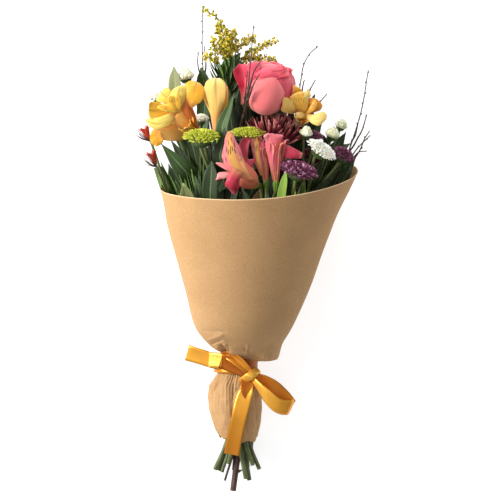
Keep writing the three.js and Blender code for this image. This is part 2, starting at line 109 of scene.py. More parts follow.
class Finish:
    """A material. Each method adds a node and gives back its output; a value may be such an output,
    a number or a paint code."""

    def __init__(self, name, roughness):
        self.name = name
        self.material = bpy.data.materials.new(name)
        self.material.use_nodes = True
        self.nodes, self.links = self.material.node_tree.nodes, self.material.node_tree.links
        self.shader = self.nodes["Principled BSDF"]
        self.surface({"Roughness": roughness})

    def fill(self, node, values):
        for key, value in values.items():
            if isinstance(value, bpy.types.NodeSocket):
                self.links.new(value, node.inputs[key])
            elif value is not None:
                node.inputs[key].default_value = colour(value)

    def surface(self, values):
        self.fill(self.shader, values)

    def node(self, kind, output, values, **settings):
        made = self.nodes.new("ShaderNode" + kind)
        for key, value in settings.items():
            setattr(made, key, value)
        self.fill(made, values)
        return made.outputs[output]

    def sum(self, operation, *values, **settings):
        return self.node("Math", 0, dict(enumerate(values)), operation=operation, **settings)

    def span(self, value, low, high, to_low=0.0, to_high=1.0):
        limits = {"From Min": low, "From Max": high, "To Min": to_low, "To Max": to_high}
        return self.node("MapRange", "Result", {"Value": value, **limits})

    def mix(self, share, one, other, blend="MIX"):
        values = {"Factor": share, 6: one, 7: other}
        return self.node("Mix", 2, values, data_type="RGBA", blend_type=blend)

    def ramp(self, value, first, *middle, last):
        """The stops are pairs of place and colour."""
        shade = self.node("ValToRGB", "Color", {"Fac": value})
        stops = shade.node.color_ramp.elements
        stops[0].position, stops[1].position = first[0], last[0]
        stops[0].color, stops[1].color = colour(first[1]), colour(last[1])
        for place, code in middle:
            stops.new(place).color = colour(code)
        return shade

    def noise(self, vector, scale, detail):
        return self.node("TexNoise", "Fac", {"Vector": vector, "Scale": scale, "Detail": detail})

    def stretched(self, vector, scale):
        return self.node("Mapping", 0, {"Vector": vector, "Scale": scale})

    def map(self):
        """The UV map, and how far across the sheet and along it a place is, 0 to 1."""
        where = self.node("UVMap", "UV", {}, uv_map="UVMap")
        across = self.node("SeparateXYZ", "X", {"Vector": where})
        return where, across, across.node.outputs["Y"]

    def tone(self):
        return self.node("Attribute", "Fac", {}, attribute_name="tone")

    def from_middle(self, across):
        return self.sum("ABSOLUTE", self.sum("SUBTRACT", across, 0.5))

    def relief(self, height, strength, distance):
        values = {"Height": height, "Strength": strength, "Distance": distance}
        self.surface({"Normal": self.node("Bump", "Normal", values)})


bpy.ops.mesh.primitive_plane_add(size=40)
surface = bpy.context.object
surface.name = "pale_surface"
finish = Finish("pale_surface", 0.9)
grain = finish.noise(None, 3.0, 2.0)
finish.surface({
    "Base Color": finish.mix(grain, (0.50, 0.50, 0.50, 1), (0.54, 0.54, 0.54, 1)),
    # The surface glows a little, as a light table does, so that shadows on it stay soft.
    "Emission Color": (1, 1, 1, 1), "Emission Strength": 0.76,
})
surface.data.materials.append(finish.material)
surface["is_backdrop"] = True

sky = bpy.data.worlds.new("studio")
bpy.context.scene.world = sky
sky.use_nodes = True
sky.node_tree.nodes["Background"].inputs["Color"].default_value = (0.95, 0.97, 1, 1)
sky.node_tree.nodes["Background"].inputs["Strength"].default_value = 0.37


def soft_box(name, place, aim, size, power, tone=(1, 1, 1)):
    """A square studio lamp that stands at place and shines at aim."""
    lamp = bpy.data.objects.new(name, bpy.data.lights.new(name, "AREA"))
    bpy.context.scene.collection.objects.link(lamp)
    lamp.data.size = size
    lamp.data.energy = power
    lamp.data.color = tone
    lamp.location = place
    lamp.rotation_euler = (Vector(aim) - Vector(place)).to_track_quat("-Z", "Y").to_euler()


soft_box("key_light", (-1.45, 0.40, 0.92), (0, 0, 0.05), 0.8, 44, (1, 0.98, 0.95))
soft_box("fill_light", (0.0, -0.2, 1.9), (0, 0, 0), 1.6, 4)
soft_box("flower_light", (0.10, 1.60, 0.80), (0, 0.12, 0.08), 0.8, 16)
bpy.context.scene.view_settings.view_transform = "Standard"


# ---------------------------------------------------------------- kraft paper wrap
# One sheet of brown kraft paper, rolled into a cone round the flowers with its edges lapped at the
# back. It is gathered at the waist, where the ribbon holds it, and its lower end stands out as a
# short skirt. The lying bouquet's weight flattens it along the underside.
class Skin:
    """Grids of points that become one mesh, with a UV map and a tone for each grid."""

    def __init__(self):
        self.points, self.faces, self.uv, self.tones = [], [], [], []

    def grid(self, rows, tone=0.5, closed=False, high=1.0):
        """rows of points. closed joins each row's end to its start, and high is the map's last V."""
        start, columns = len(self.points), len(rows[0])
        for row in rows:
            self.points.extend(row)
        self.tones.extend([tone] * (len(rows) * columns))
        across = columns if closed else columns - 1
        for i in range(len(rows) - 1):
            v0, v1 = high * i / (len(rows) - 1), high * (i + 1) / (len(rows) - 1)
            for j in range(across):
                a, b = start + i * columns + j, start + i * columns + (j + 1) % columns
                self.faces.append((a, b, b + columns, a + columns))
                self.uv.extend(((j / across, v0), ((j + 1) / across, v0)))
                self.uv.extend((((j + 1) / across, v1), (j / across, v1)))

    def made(self, name, finish, thickness=0.0, smooth=0, offset=0.0):
        """The piece. thickness gives the sheet its two faces, and smooth rounds it off."""
        mesh = bpy.data.meshes.new(name)
        mesh.from_pydata(self.points, [], self.faces)
        layer = mesh.uv_layers.new(name="UVMap")
        layer.data.foreach_set("uv", [x for pair in self.uv for x in pair])
        tone = mesh.attributes.new("tone", "FLOAT", "POINT")
        tone.data.foreach_set("value", self.tones)
        mesh.materials.append(finish.material)
        mesh.shade_smooth()
        piece = bpy.data.objects.new(name, mesh)
        bpy.context.scene.collection.objects.link(piece)
        if smooth:
            rounder = piece.modifiers.new("rounder", "SUBSURF")
            rounder.levels = rounder.render_levels = smooth
        if thickness:
            solid = piece.modifiers.new("thickness", "SOLIDIFY")
            solid.thickness, solid.offset = thickness, offset
        return piece


def in_place(piece, slot, *nodes):
    """Ties a finished piece to the bouquet and hides the CAD nodes it stands for. slot is not used."""
    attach(piece, "root")
    if nodes:
        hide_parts(*nodes)
    return piece


def eased(x, low, high):
    """0 below low, 1 above high, and a smooth rise between them."""
    t = min(1.0, max(0.0, (x - low) / (high - low)))
    return t * t * (3 - 2 * t)


def between(a, b, c, d, t):
    """The value at t, 0 to 1, from b to c on a smooth curve through all four."""
    return 0.5 * (2 * b + (c - a) * t + (2 * a - 5 * b + 4 * c - d) * t * t
                  + (3 * b - a - 3 * c + d) * t**3)


def smooth_line(points, count):
    """count points, evenly along a smooth curve through the given points."""
    knots = [Vector(p) for p in points]
    knots = [2 * knots[0] - knots[1], *knots, 2 * knots[-1] - knots[-2]]
    fine = []
    for four in zip(knots, knots[1:], knots[2:], knots[3:]):
        fine += [between(*four, i / 24) for i in range(24)]
    fine.append(knots[-2])
    lengths = [0.0]
    for a, b in zip(fine, fine[1:]):
        lengths.append(lengths[-1] + (b - a).length)
    line, k = [], 0
    for i in range(count):
        want = lengths[-1] * i / (count - 1)
        while k < len(fine) - 2 and lengths[k + 1] < want:
            k += 1
        span = lengths[k + 1] - lengths[k] or 1
        line.append(fine[k].lerp(fine[k + 1], (want - lengths[k]) / span))
    return line


def spline(values, t):
    """The value at t, 0 to 1, on a smooth curve through values: numbers, or rows of numbers."""
    k = min(max(t, 0.0), 1.0) * (len(values) - 1)
    i = min(int(k), len(values) - 2)
    near = [values[max(i - 1, 0)], values[i], values[i + 1], values[min(i + 2, len(values) - 1)]]
    if isinstance(near[0], (int, float)):
        return between(*near, k - i)
    return [between(*column, k - i) for column in zip(*near)]


# Stations from the hem to the mouth, in mm: along the bouquet, centre across, half width, height of
# the centre, rise above it, depth below it. Then the section's forward lean and its rise to the right.
stations = [
    (-194, -17, 18.6, 21, 17.8, 17.5, 0, 0),
    (-185, -18.5, 21.5, 21.5, 19, 19.5, 0, 0),
    (-175, -19.5, 24, 22, 20.5, 21, 0, 0),
    (-163, -20.5, 25.8, 22.4, 21.8, 22.2, 0, 0),
    (-151, -21, 26.3, 22.5, 22.5, 22.5, 0, 0),
    (-139, -21.3, 25, 21.8, 21.4, 21.6, 0, 0),
    (-130, -19.3, 20.8, 20.8, 19.3, 19.6, 0, 0),
    (-125, -18.5, 18.3, 20.6, 18.4, 18.4, 0, 0),
    (-110.5, -18.5, 18.3, 20.6, 18.4, 18.4, 0, 0),
    (-108.5, -11, 23.5, 22.2, 21, 21.6, 0, 0),
    (-104.5, -7.2, 29.3, 26.2, 25, 26.2, 0.01, 0),
    (-94, -10.3, 38.5, 32, 33.5, 32, 0.05, 0),
    (-75, -11.2, 50.5, 39, 43, 39, 0.1, 0.016),
    (-38, -7.5, 63, 48, 52, 48, 0.17, 0.032),
    (-2, -6, 74, 56, 60, 56, 0.22, 0.05),
    (33, -3.5, 85.5, 63, 68, 63, 0.26, 0.066),
    (56, 0.5, 93, 68, 73.8, 69, 0.28, 0.074),
    (72.4, 3, 98.5, 72, 78, 73, 0.29, 0.08),
]
# Creases pressed into the paper, in mm: where each starts and ends, seen from above, how deep and
# how wide it is.
creases = [
    ((-45, -95), (-33.5, -88.5), 1.8, 1.4),
    ((-47, -90), (-33, -83.5), -1.7, 2.2),
    ((-52, -80), (-30, -80), 1, 1.6),
    ((-40, -98.5), (-30, -93.5), -2.6, 1.6),
    ((-35.6, -94.8), (-31.4, -104.4), 13, 2.1),
    ((-32.8, -95), (-29, -104), -3, 1.6),
    ((-29, -95), (-28, -104), 2.2, 2),
    ((-38, -100), (-33, -105), 1.8, 1.4),
    ((-30, -89), (-6, -99), 1.3, 4),
    ((-12, -98.5), (-6, -102), 2.2, 1.4),
    ((-8, -94), (-10, -106), -1.6, 1.4),
    ((4, -104), (22, -86), 0.8, 4),
    ((-23, -130), (-24.5, -170), 2, 1.6),
    ((-29, -128), (-30, -156), -1.4, 1.6),
    ((-35, -129), (-44, -148), 2.2, 1.6),
    ((-39, -133), (-43, -144), -1.8, 1.4),
    ((-44, -151), (-31, -149), 1.2, 1.2),
    ((-24, -148), (-17, -140), 2, 1.4),
    ((-25, -152), (-18, -150), 1.8, 1),
    ((-11, -130), (-10, -185), 1.4, 2),
    ((-2, -133), (1, -180), 1.4, 1.8),
    ((-21, -154), (-25, -170), 1.4, 1.4),
]


WAIST = -0.118  # where the paper is tied, along the bouquet
BAND = (-0.126, -0.1095)  # the part of it that the ribbon holds round
SHOULDER = 9  # the station above which the paper runs on in smooth curves
FLATTEN = 2.6  # the underside's exponent in section: 2 would be round


def crease_depth(x, y, start, end, depth, width):
    """How far one crease pushes the paper in at a place. It fades at its two ends."""
    start = Vector(start) / 1000
    along = Vector(end) / 1000 - start
    share = (Vector((x, y)) - start).dot(along) / along.length_squared
    away = (Vector((x, y)) - start - along * min(1.0, max(0.0, share))).length
    if away >= 4 * width / 1000:
        return 0.0
    part = eased(share, -0.25, 0.2) * (1 - eased(share, 0.8, 1.25))
    return depth / 1000 * part * math.exp(-away * 1000 / width)


def paper_point(s, turn):
    """A place on the paper: s runs 0 to 1 from hem to mouth, turn goes round it from the right."""
    low = min(int(s * (len(stations) - 1)), len(stations) - 2)
    if low > SHOULDER:
        station = spline(stations, s)
    else:
        t = s * (len(stations) - 1) - low
        station = [a + (b - a) * t for a, b in zip(stations[low], stations[low + 1])]
    y, x0, wide, z0, high, deep = (size / 1000 for size in station[:6])
    lean, rise = station[6:]
    cos, sin = math.cos(turn), math.sin(turn)
    power = 2 / FLATTEN if sin < 0 and not BAND[0] < y < BAND[1] else 1.0
    x = wide * math.copysign(abs(cos) ** power, cos)
    z = high * sin if sin > 0 else -deep * abs(sin) ** power
    outward = Vector((cos / wide, 0, sin / (high if sin > 0 else deep))).normalized()
    place = Vector((x0 + x, y + rise * x - lean * z, z0 + z))

    # At the right the shoulder sags over the binding and ends in a sharp corner.
    place.y -= 0.0070 * eased(cos, 0.15, 0.85) * math.exp(-(((y + 0.1045) / 0.0062) ** 2))
    # Pleats run out from the waist. They fade soon above it, and last down the skirt below it.
    above, below = max(0.0, y - WAIST - 0.008), max(0.0, WAIST - y - 0.007)
    gather = math.exp(-above / 0.006) if y > WAIST else math.exp(-below / 0.022)
    pleat = 0.6 * math.sin(17 * turn + 2 * math.sin(3 * turn + 1))
    pleat += 0.4 * math.sin(29 * turn + 3 * math.cos(2 * turn))
    push = 0.0011 * gather * (1 - abs(pleat) * 1.6)
    # The skirt and the left shoulder are crumpled, and the whole sheet waves a little.
    crumple = abs(noise.noise(Vector((place.x * 60, place.y * 45, place.z * 60 + 4))))
    if y > WAIST:
        push += 0.0016 * (1 - crumple * 2.2) * math.exp(-above / 0.016) * eased(-cos, -0.4, 0.5)
    else:
        push += 0.0013 * (1 - crumple * 2) * eased(below, 0, 0.01)
    push += 0.0012 * noise.noise(Vector((place.x * 14, place.y * 11, place.z * 14)))
    if sin > -0.2:
        push -= sum(crease_depth(place.x, place.y, *crease) for crease in creases)
    place += outward * push
    # The cut edges at the mouth and the hem wave, and the underside rests on the surface.
    place.y += 0.0010 * eased(s, 0.93, 1.0) * math.sin(3.1 * turn + 0.6)
    hem = 1 - eased(s, 0.0, 0.08)
    place.y += hem * (0.0022 * math.sin(2 * turn + 2.4) + 0.0012 * math.sin(7 * turn))
    place.z = max(place.z, 0.0006 + 0.0002 * (1 + math.sin(40 * place.x)))
    return place


ROUND = 240  # places round the paper
# Rows between one station and the next: most of them where the paper is creased.
steps_up = [7] * 8 + [5, 8, 20, 28, 16] + [8] * 4
heights = [(i + j / count) / len(steps_up) for i, count in enumerate(steps_up) for j in range(count)]
# The sheet laps over itself by a hand's width at the back right, and its outer edge stands free.
LAP = math.radians(34)
FIRST_EDGE = math.radians(-62)
LAP_GAP = 0.0008  # how far the inner edge is tucked in under the outer one
# Places stand closer together round one side of the front than round the back.
CLOSER, CLOSEST = 0.055, 0.385
rows = []
for height in heights + [1.0]:
    row = []
    for j in range(ROUND + 1):
        share = j / ROUND
        drawn_in = math.sin(2 * math.pi * (share - CLOSEST)) + math.sin(2 * math.pi * CLOSEST)
        share -= CLOSER * drawn_in
        turn = FIRST_EDGE + share * (2 * math.pi + LAP)
        tuck = eased(share, 0.0, LAP / (2 * math.pi + LAP)) if share < 0.5 else 1.0
        inward = Vector((math.cos(turn), 0, math.sin(turn))) * LAP_GAP * (1 - tuck)
        row.append(paper_point(height, turn) - inward)
    rows.append(row)
paper = Skin()
paper.grid(rows)

finish = Finish("kraft_paper", 0.82)
where = finish.node("TexCoord", "Object", {})
fibre = finish.noise(finish.stretched(where, (1400, 90, 1400)), 1.0, 6.0)
bands = finish.sum("MULTIPLY", finish.noise(where, 26.0, 3.0), 0.45)
shade = finish.ramp(finish.sum("ADD", fibre, bands), (0.45, "AA8357"), last=(0.95, "C49C6E"))
fleck = finish.node("TexVoronoi", "Distance", {"Vector": where, "Scale": 330.0})
speck = finish.ramp(fleck, (0.06, (0.72, 0.72, 0.72, 1)), last=(0.12, (1, 1, 1, 1)))
flecked = finish.mix(0.5, shade, speck, "MULTIPLY")
# The paper is painted paler along its cut edge round the mouth, as a painted highlight where the edge
# catches the light.
painted_rim_highlight = finish.span(finish.map()[2], 0.9945, 0.998, to_high=0.8)
finish.surface({"Base Color": finish.mix(painted_rim_highlight, flecked, "E6C79C"), "Specular IOR Level": 0.25})
finish.relief(fibre, 0.12, 0.0004)
wrap = paper.made("kraft_paper_wrap_sheet", finish, thickness=0.00035, offset=-1)
in_place(wrap, "kraft", "kraft_paper_wrap")


# ---------------------------------------------------------------- satin ribbon
# One strip of 15 mm golden satin ribbon, heat cut at both ends. It goes twice round the gathered
# paper, crosses itself on the front and is tied in a half bow: one loop and two tails.
def strip(line, count=60, crown=0.6, tone=0.5, columns=6):
    """A stretch of the ribbon along line: rows of x, y, z and width in mm, and the way that its width
    points. crown rounds it across. tone is the painted shade or highlight on it, and may be two tones, for
    its start and its end."""
    steps = [spline(line, i / (count - 1)) for i in range(count)]
    rows = []
    for i, step in enumerate(steps):
        ahead = Vector(steps[min(i + 1, count - 1)][:3]) - Vector(steps[max(i - 1, 0)][:3])
        side = Vector(step[4:7]).normalized()
        side = (side - side.project(ahead)).normalized()
        face = side.cross(ahead).normalized()
        row = []
        for j in range(columns + 1):
            u = j / columns * 2 - 1
            place = Vector(step[:3]) + side * (u * step[3] / 2) + face * crown * (1 - u * u)
            row.append(place / 1000)
        rows.append(row)
    first, last = tone if isinstance(tone, tuple) else (tone, tone)
    satin.grid(rows)
    satin.tones[-count * (columns + 1):] = [
        first + (last - first) * i / (count - 1) for i in range(count) for j in range(columns + 1)
    ]


satin = Skin()
TIE = (-18.5, 20.6)  # the middle of the gathered paper: across and height, in mm
# The two turns, each begun in the shade beside the knot, where a tone of 0 paints that shade: how far
# along, how wide round, from and to which side in degrees, the slope and the tone. They hang slack at the
# left.
for along, reach, start, end, slope, tone in [
    (-119.2, 20.2, 62, 4, 0.05, 0.0), (-119.2, 20.2, 4, -298, 0.05, 0.35),
    (-116.0, 20.9, 74, 4, 0.10, 0.0), (-116.0, 20.9, 4, -140, 0.10, 0.35),
]:
    turn = []
    for i in range(25):
        angle = math.radians(start + (end - start) * i / 24)
        slack = 4.5 * max(0.0, -math.cos(angle)) ** 3 * (1 if math.sin(angle) > -0.4 else 0.3)
        x = TIE[0] + reach * math.cos(angle) - slack
        z = max(0.8, TIE[1] + reach * math.sin(angle))
        turn.append((x, along - slope * (x - TIE[0]), z, 14.6, 0.05, 1, 0))
    strip(turn, count=90, crown=0.5, tone=tone)
# The left tail, from its cut end to where it goes under the turns.
strip([
    (-71.2, -104.9, 27, 16.8, 0, 1, 0.0), (-64.8, -106.8, 29, 16.4, 0.04, 1, 0.05),
    (-54.4, -109.7, 31.4, 16, 0.2, 1, 0.02), (-45.1, -112.8, 32, 15.4, 0.25, 1, -0.1),
    (-37.5, -115.2, 31.2, 14.4, 0.25, 1, -0.1), (-31, -117, 34, 12.5, 0.25, 1, 0),
], tone=0.75)
# The wide fold over the turns. It bends back at the left, and a tone of 1 paints a highlight on it.
strip([
    (-45.6, -111.0, 30.0, 13.6, 0.10, 1, 0.0), (-48.6, -111.2, 33.0, 15.4, 0.06, 1, 0.0),
    (-47.6, -111.4, 36.6, 15.8, 0.06, 1, 0.0), (-42.4, -111.6, 39.6, 15.8, 0.06, 1, 0.0),
    (-36.6, -111.8, 42.6, 15.6, 0.03, 1, 0.0), (-35.2, -112.0, 44.6, 14.6, 0.03, 1, 0.0),
], count=70, tone=1.0, crown=0.3)
# It turns over and is drawn in, down to the right, under the knot, and is painted dark as shade there.
strip([
    (-36.2, -112.2, 45.0, 15.0, 0.10, 1, 0.05), (-33.0, -113.2, 44.8, 15.8, 0.22, 1, 0.22),
    (-27.6, -115.6, 45.0, 15.6, 0.42, 1, 0.30), (-21.4, -119.0, 45.6, 13.0, 0.60, 1, 0.34),
    (-14.8, -123.4, 45.8, 9.6, 0.7, 0.9, 0.3), (-8.0, -127.6, 45.4, 7.0, 0.7, 0.8, 0.2),
], count=80, tone=(0.14, 0.04), crown=1.4)
# The strand that crosses above it, folded along its middle. Its low tone paints shade on it.
strip([
    (-35.8, -105.4, 39.0, 4.0, 0.3, 1, 0.3), (-28.4, -106.6, 46.2, 8.4, 0.5, 0.9, 0.2),
    (-19.4, -111.2, 49.0, 10.4, 0.7, 0.8, 0.0), (-11.4, -118.2, 50.0, 9.0, 0.8, 0.7, -0.1),
    (-5.6, -125.0, 48.6, 7.0, 0.8, 0.6, -0.1),
], count=70, tone=(0.2, 0.45), crown=2.0)
# The knot, painted bright as a highlight.
strip([
    (-15.2, -133.4, 40.0, 8.8, 0.8, -0.55, 0), (-11.4, -131.2, 46.6, 9.4, 0.8, -0.55, 0),
    (-6.4, -127.2, 51.2, 9.4, 0.8, -0.55, 0), (-1.6, -123.4, 48.6, 9.4, 0.8, -0.55, 0),
    (1.4, -121.0, 41.0, 9.4, 0.8, -0.55, 0),
], tone=0.9, crown=1.2)
# The loop, out along its back strand, round the bend and back over the front. Its back strand is painted
# dark as shade, and its front strand is painted brighter towards the knot as a highlight.
strip([
    (-6.0, -126.6, 45.0, 7.0, 0.5, 0.8, 0.0), (2.2, -129.0, 46.0, 9.0, 0.5, 0.8, 0.1),
    (10.6, -133.4, 45.2, 12.5, 0.55, 0.8, 0.15), (19.6, -140.6, 43.4, 15.0, 0.5, 0.8, 0.05),
    (28.6, -150.2, 40.6, 15.6, 0.45, 0.88, 0), (33.8, -157.2, 40.2, 16.0, 0.42, 0.9, 0),
], count=80, tone=(0.12, 0.4), crown=0.5)
strip([
    (33.0, -156.2, 39.8, 16.0, 0.42, 0.9, 0), (36.2, -159.4, 43.2, 16.2, 0.42, 0.9, 0),
    (33.8, -159.0, 48.8, 16.0, 0.42, 0.9, 0),
    (26.2, -158.2, 52.2, 15.6, 0.42, 0.88, 0.1), (18.8, -154.0, 53.9, 14.6, 0.5, 0.8, 0.2),
    (10.2, -145.2, 53.9, 12.6, 0.6, 0.72, 0.4), (2.2, -136.4, 51.4, 8.5, 0.62, 0.55, 0.55),
    (-5.0, -128.0, 46.5, 6.0, 0.5, 0.6, 0.4),
], count=100, tone=(0.35, 1.0))
# The tail that hangs down the front: it leaves the knot painted dark as shade, turns over, and is painted
# bright as a highlight where it turns, darker further down.
strip([
    (-8.0, -127.4, 45.0, 7.0, 1, -0.1, 0.1), (-8.8, -132.8, 48.2, 12.4, 1, -0.15, 0.0),
    (-8.6, -139.6, 50.2, 14.4, 1, -0.2, -0.15), (-8.4, -147.0, 49.4, 9.0, 1, -0.4, -0.3),
    (-7.4, -152.0, 47.8, 2.0, 1, -0.6, -0.3),
], count=50, tone=(0.02, 0.25), crown=0.9)
strip([
    (-6.8, -131.4, 46.6, 6.0, 1, -0.15, 0.3),
    (-9.0, -140.6, 48.8, 13.0, 1, -0.22, 0.2), (-12.0, -149.0, 49.2, 15.4, 1, -0.28, 0.1),
    (-16.2, -165.2, 48.6, 15.8, 1, -0.25, 0.0), (-20.6, -184.5, 45.2, 15.8, 1, -0.22, 0.0),
    (-25.0, -208.4, 40.6, 15.8, 1, -0.36, 0.02),
], count=110, tone=(1.0, 0.3), crown=0.9)

finish = Finish("golden_satin", 0.34)
where, across, _ = finish.map()
# A tone of 0 is painted deep shade, inside the tie and where the ribbon lies doubled, and 1 is a painted
# highlight, the bright yellow where the satin catches the light. Its two edges are woven tighter.
face = finish.ramp(finish.tone(), (0.0, "8A3C0C"), (0.14, "C0660E"), (0.6, "EFA634"), last=(0.95, "FBC04C"))
edge = finish.ramp(finish.from_middle(across), (0.46, (1, 1, 1, 1)), last=(0.49, (0.5, 0.55, 0.6, 1)))
woven = finish.mix(1.0, face, edge, "MULTIPLY")
weft = finish.noise(finish.stretched(where, (3.0, 70.0, 1.0)), 4.0, 4.0)
veil = finish.span(finish.noise(where, 3.0, 2.0), 0.0, 1.0, to_high=0.35)
finish.surface({
    "Base Color": finish.mix(veil, woven, "D98218"), "Roughness": finish.span(weft, 0.0, 1.0, 0.26, 0.42),
    "Metallic": 0.55, "Anisotropic": 0.5, "Sheen Weight": 0.15, "Sheen Tint": "FFD98A",
})
finish.relief(weft, 0.1, 0.0003)
ribbon = satin.made("satin_ribbon_bow", finish, thickness=0.0003)
in_place(ribbon, "satin", "satin_ribbon")


# ---------------------------------------------------------------- stem binding
# Six turns of raffia hold the stems together under the paper, at the waist. Raffia is dried palm
# leaf torn into flat strands. It is wound wet and its end is knotted on the front.
low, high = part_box("stem_binding")
middle = (low + high) / 2
raffia = Skin()
TURNS, STEPS = 6, 28  # turns of raffia, and places round each
INSET = 0.0014  # how far the middle of the end turns lies inside the binding
rows = []
for i in range(TURNS * STEPS + 1):
    angle = 2 * math.pi * i / STEPS
    reach = (high.x - low.x) / 2 - 0.0007 + 0.0003 * math.sin(2.7 * angle)
    run = (high.y - low.y - 2 * INSET) * i / (TURNS * STEPS)
    outward = Vector((math.cos(angle), 0, math.sin(angle)))
    sway = 0.0006 * math.sin(0.9 * angle)
    centre = Vector((middle.x, low.y + INSET + run + sway, middle.z)) + outward * reach
    row = []
    for u in (-1, -0.4, 0.2, 1):
        row.append(centre + Vector((0, 0.00125 * u, 0)) + outward * 0.0002 * math.cos(3 * u))
    rows.append(row)
raffia.grid(rows)
finish = Finish("raffia", 0.7)
fibre = finish.noise(finish.stretched(finish.map()[0], (14, 3, 1)), 3.0, 5.0)
finish.surface({"Base Color": finish.ramp(fibre, (0.0, "A98A55"), last=(1.0, "E2CD98"))})
finish.relief(fibre, 0.3, 0.0004)
in_place(raffia.made("raffia_binding", finish, thickness=0.0002), "raffia", "stem_binding")


# ---------------------------------------------------------------- stems
# Fifteen cut stems, stripped of their leaves below the tie and packed together in the binding. They
# spread again below it. All sizes are in mm. The rose's stem is woody and has thorns.
# A seat is the place where a bloom sits, and the way it faces.
seats = {
    "rose": ((8, 131, 87), (0.03, 0.93, 0.36)),
    "yellow_open": ((-57, 114, 82), (-0.55, 0.5, 0.67)),
    "yellow_side": ((-37, 113, 90), (-0.05, 0.96, 0.27)),
    "golden": ((41, 125, 61), (0.45, 0.6, 0.66)),
    "pink_open": ((0, 65, 110), (-0.5, 0.36, 0.79)),
    "pink_middle": ((9.5, 67, 105), (-0.1, 0.96, 0.26)),
    "pink_right": ((19, 66, 111), (0.02, 0.95, 0.3)),
    "wine_middle": ((22, 91, 74), (0.05, 0.92, 0.38)),
    "wine_right": ((49, 82, 61), (0.3, 0.82, 0.48)),
    "green_left": ((-52.5, 105, 121), (0, 0.93, 0.37)),
    "green_right": ((-8.5, 109, 110), (0, 0.97, 0.24)),
    "plum_front": ((39.5, 73, 122), (0.22, 0.87, 0.44)),
    "plum_back": ((56, 104, 84), (0.15, 0.9, 0.4)),
    "plum_right": ((83, 90, 92), (0.4, 0.72, 0.56)),
    "white_right": ((60, 93, 114), (0.52, 0.76, 0.4)),
    "white_left": ((-55, 129, 74), (0, 0.92, 0.4)),
    "white_top": ((-92, 150, 72), (-0.45, 0.85, 0.28)),
    "scarlet_low": ((-99, 85, 86), (-0.35, 0.9, 0.25)),
    "scarlet_high": ((-106, 111, 78), (-0.4, 0.9, 0.15)),
    "bud_low": ((48, 113, 104), (0.2, 0.9, 0.3)),
    "bud_middle": ((75, 113, 84), (0.3, 0.9, 0.2)),
    "bud_high": ((84, 123, 78), (0.3, 0.9, 0.2)),
    "bud_left": ((-69, 169, 66), (-0.1, 0.97, 0.2)),
}
# name, ring in the binding, side it is pushed in from, radius, cut end, points above the tie, and
# the seats that it ends in or forks to.
stems = [
    ("rose", 0, 0, 3.1, (-23.6, -248.6, 21), [(-13, 1, 46), (-10, 89, 70), (-8, 107, 77)], ["rose"]),
    ("golden_alstroemeria", 1, 0, 2.4, (-3.4, -220.4, 19), [(8, 11, 34), (31, 93, 42)], ["golden"]),
    ("wine_chrysanthemum", 1, 60, 2.3, (-6.7, -237.0, 25), [(6, -19, 55), (23, 39, 67)],
     ["wine_middle", "wine_right"]),
    ("goldenrod", 1, 180, 2.0, (-30.4, -218.1, 20), [(-29, 1, 42), (-33, 111, 62), (-31, 141, 66)], []),
    ("twig_top", 1, 300, 2.3, (-11.4, -224.3, 14), [], []),
    ("twig_front", 1, 120, 1.9, (-32.1, -237.5, 25), [], []),
    ("twig_left", 1, 240, 2.3, (-22.7, -228.6, 13), [], []),
    ("pink_alstroemeria", 2, 90, 2.4, (-10.1, -234.9, 28), [(-6, -29, 70), (7, 23, 91)],
     ["pink_open", "pink_middle", "pink_right"]),
    ("white_chrysanthemum", 2, 30, 2.1, (3.6, -225.6, 25), [(20, -24, 55), (48, 33, 70)],
     ["white_right", "bud_low", "bud_middle", "bud_high"]),
    ("white_chrysanthemum_left", 2, 210, 2.1, (-38.3, -228.8, 15), [(-43, -19, 32), (-56, 57, 42)],
     ["white_left", "white_top", "bud_left"]),
    ("leafy_right", 2, 330, 1.9, (0.8, -221.2, 14), [(34, 1, 36), (66, 71, 52), (80, 102, 62)], []),
    ("leafy_back", 2, 270, 1.9, (-20.6, -225.0, 10), [(-14, -29, 8.5), (-10, 61, 11), (-7, 129, 26)], []),
    ("scarlet", 2, 150, 1.8, (-35.0, -228.8, 24.5), [(-60, -9, 53), (-84, 46, 68)],
     ["scarlet_low", "scarlet_high"]),
    ("yellow_alstroemeria", 3, 180, 2.4, (-42.3, -226.9, 20), [(-39, -19, 40), (-44, 63, 66)],
     ["yellow_open", "yellow_side"]),
    ("green_chrysanthemum", 3, 120, 2.2, (-28.2, -219.6, 27), [(-26, -29, 66), (-29, 35, 87)],
     ["green_left", "green_right"]),
    ("plum_chrysanthemum", 3, 60, 2.2, (-3.1, -220.8, 29), [(10, -29, 68), (32, 25, 86)],
     ["plum_front", "plum_back", "plum_right"]),
    ("leafy_back_left", 3, 240, 1.9, (-40.5, -224.1, 9), [(-34, -29, 8.5), (-44, 61, 10), (-50, 119, 18)],
     []),
    ("leafy_back_right", 3, 300, 1.9, (-8.1, -226.2, 9), [(4, -29, 8.5), (26, 61, 10), (38, 121, 18)], []),
    ("twig_right", 3, 0, 2.3, (-6.5, -213.0, 11), [], []),
]


slots = {}
placed = []
for name, ring, side, radius, *_ in stems:
    # A stem is pushed in from its side until it touches those already there. Twigs are squeezed.
    tight = 0.98 * radius * (0.85 if name.startswith("twig") else 1)
    inward, reach = Vector((math.cos(math.radians(side)), math.sin(math.radians(side)))), 0.0
    while any((inward * reach - other).length < tight + size + 0.3 for other, size in placed):
        reach += 0.05
    slots[name] = inward * reach
    placed.append((slots[name], tight))


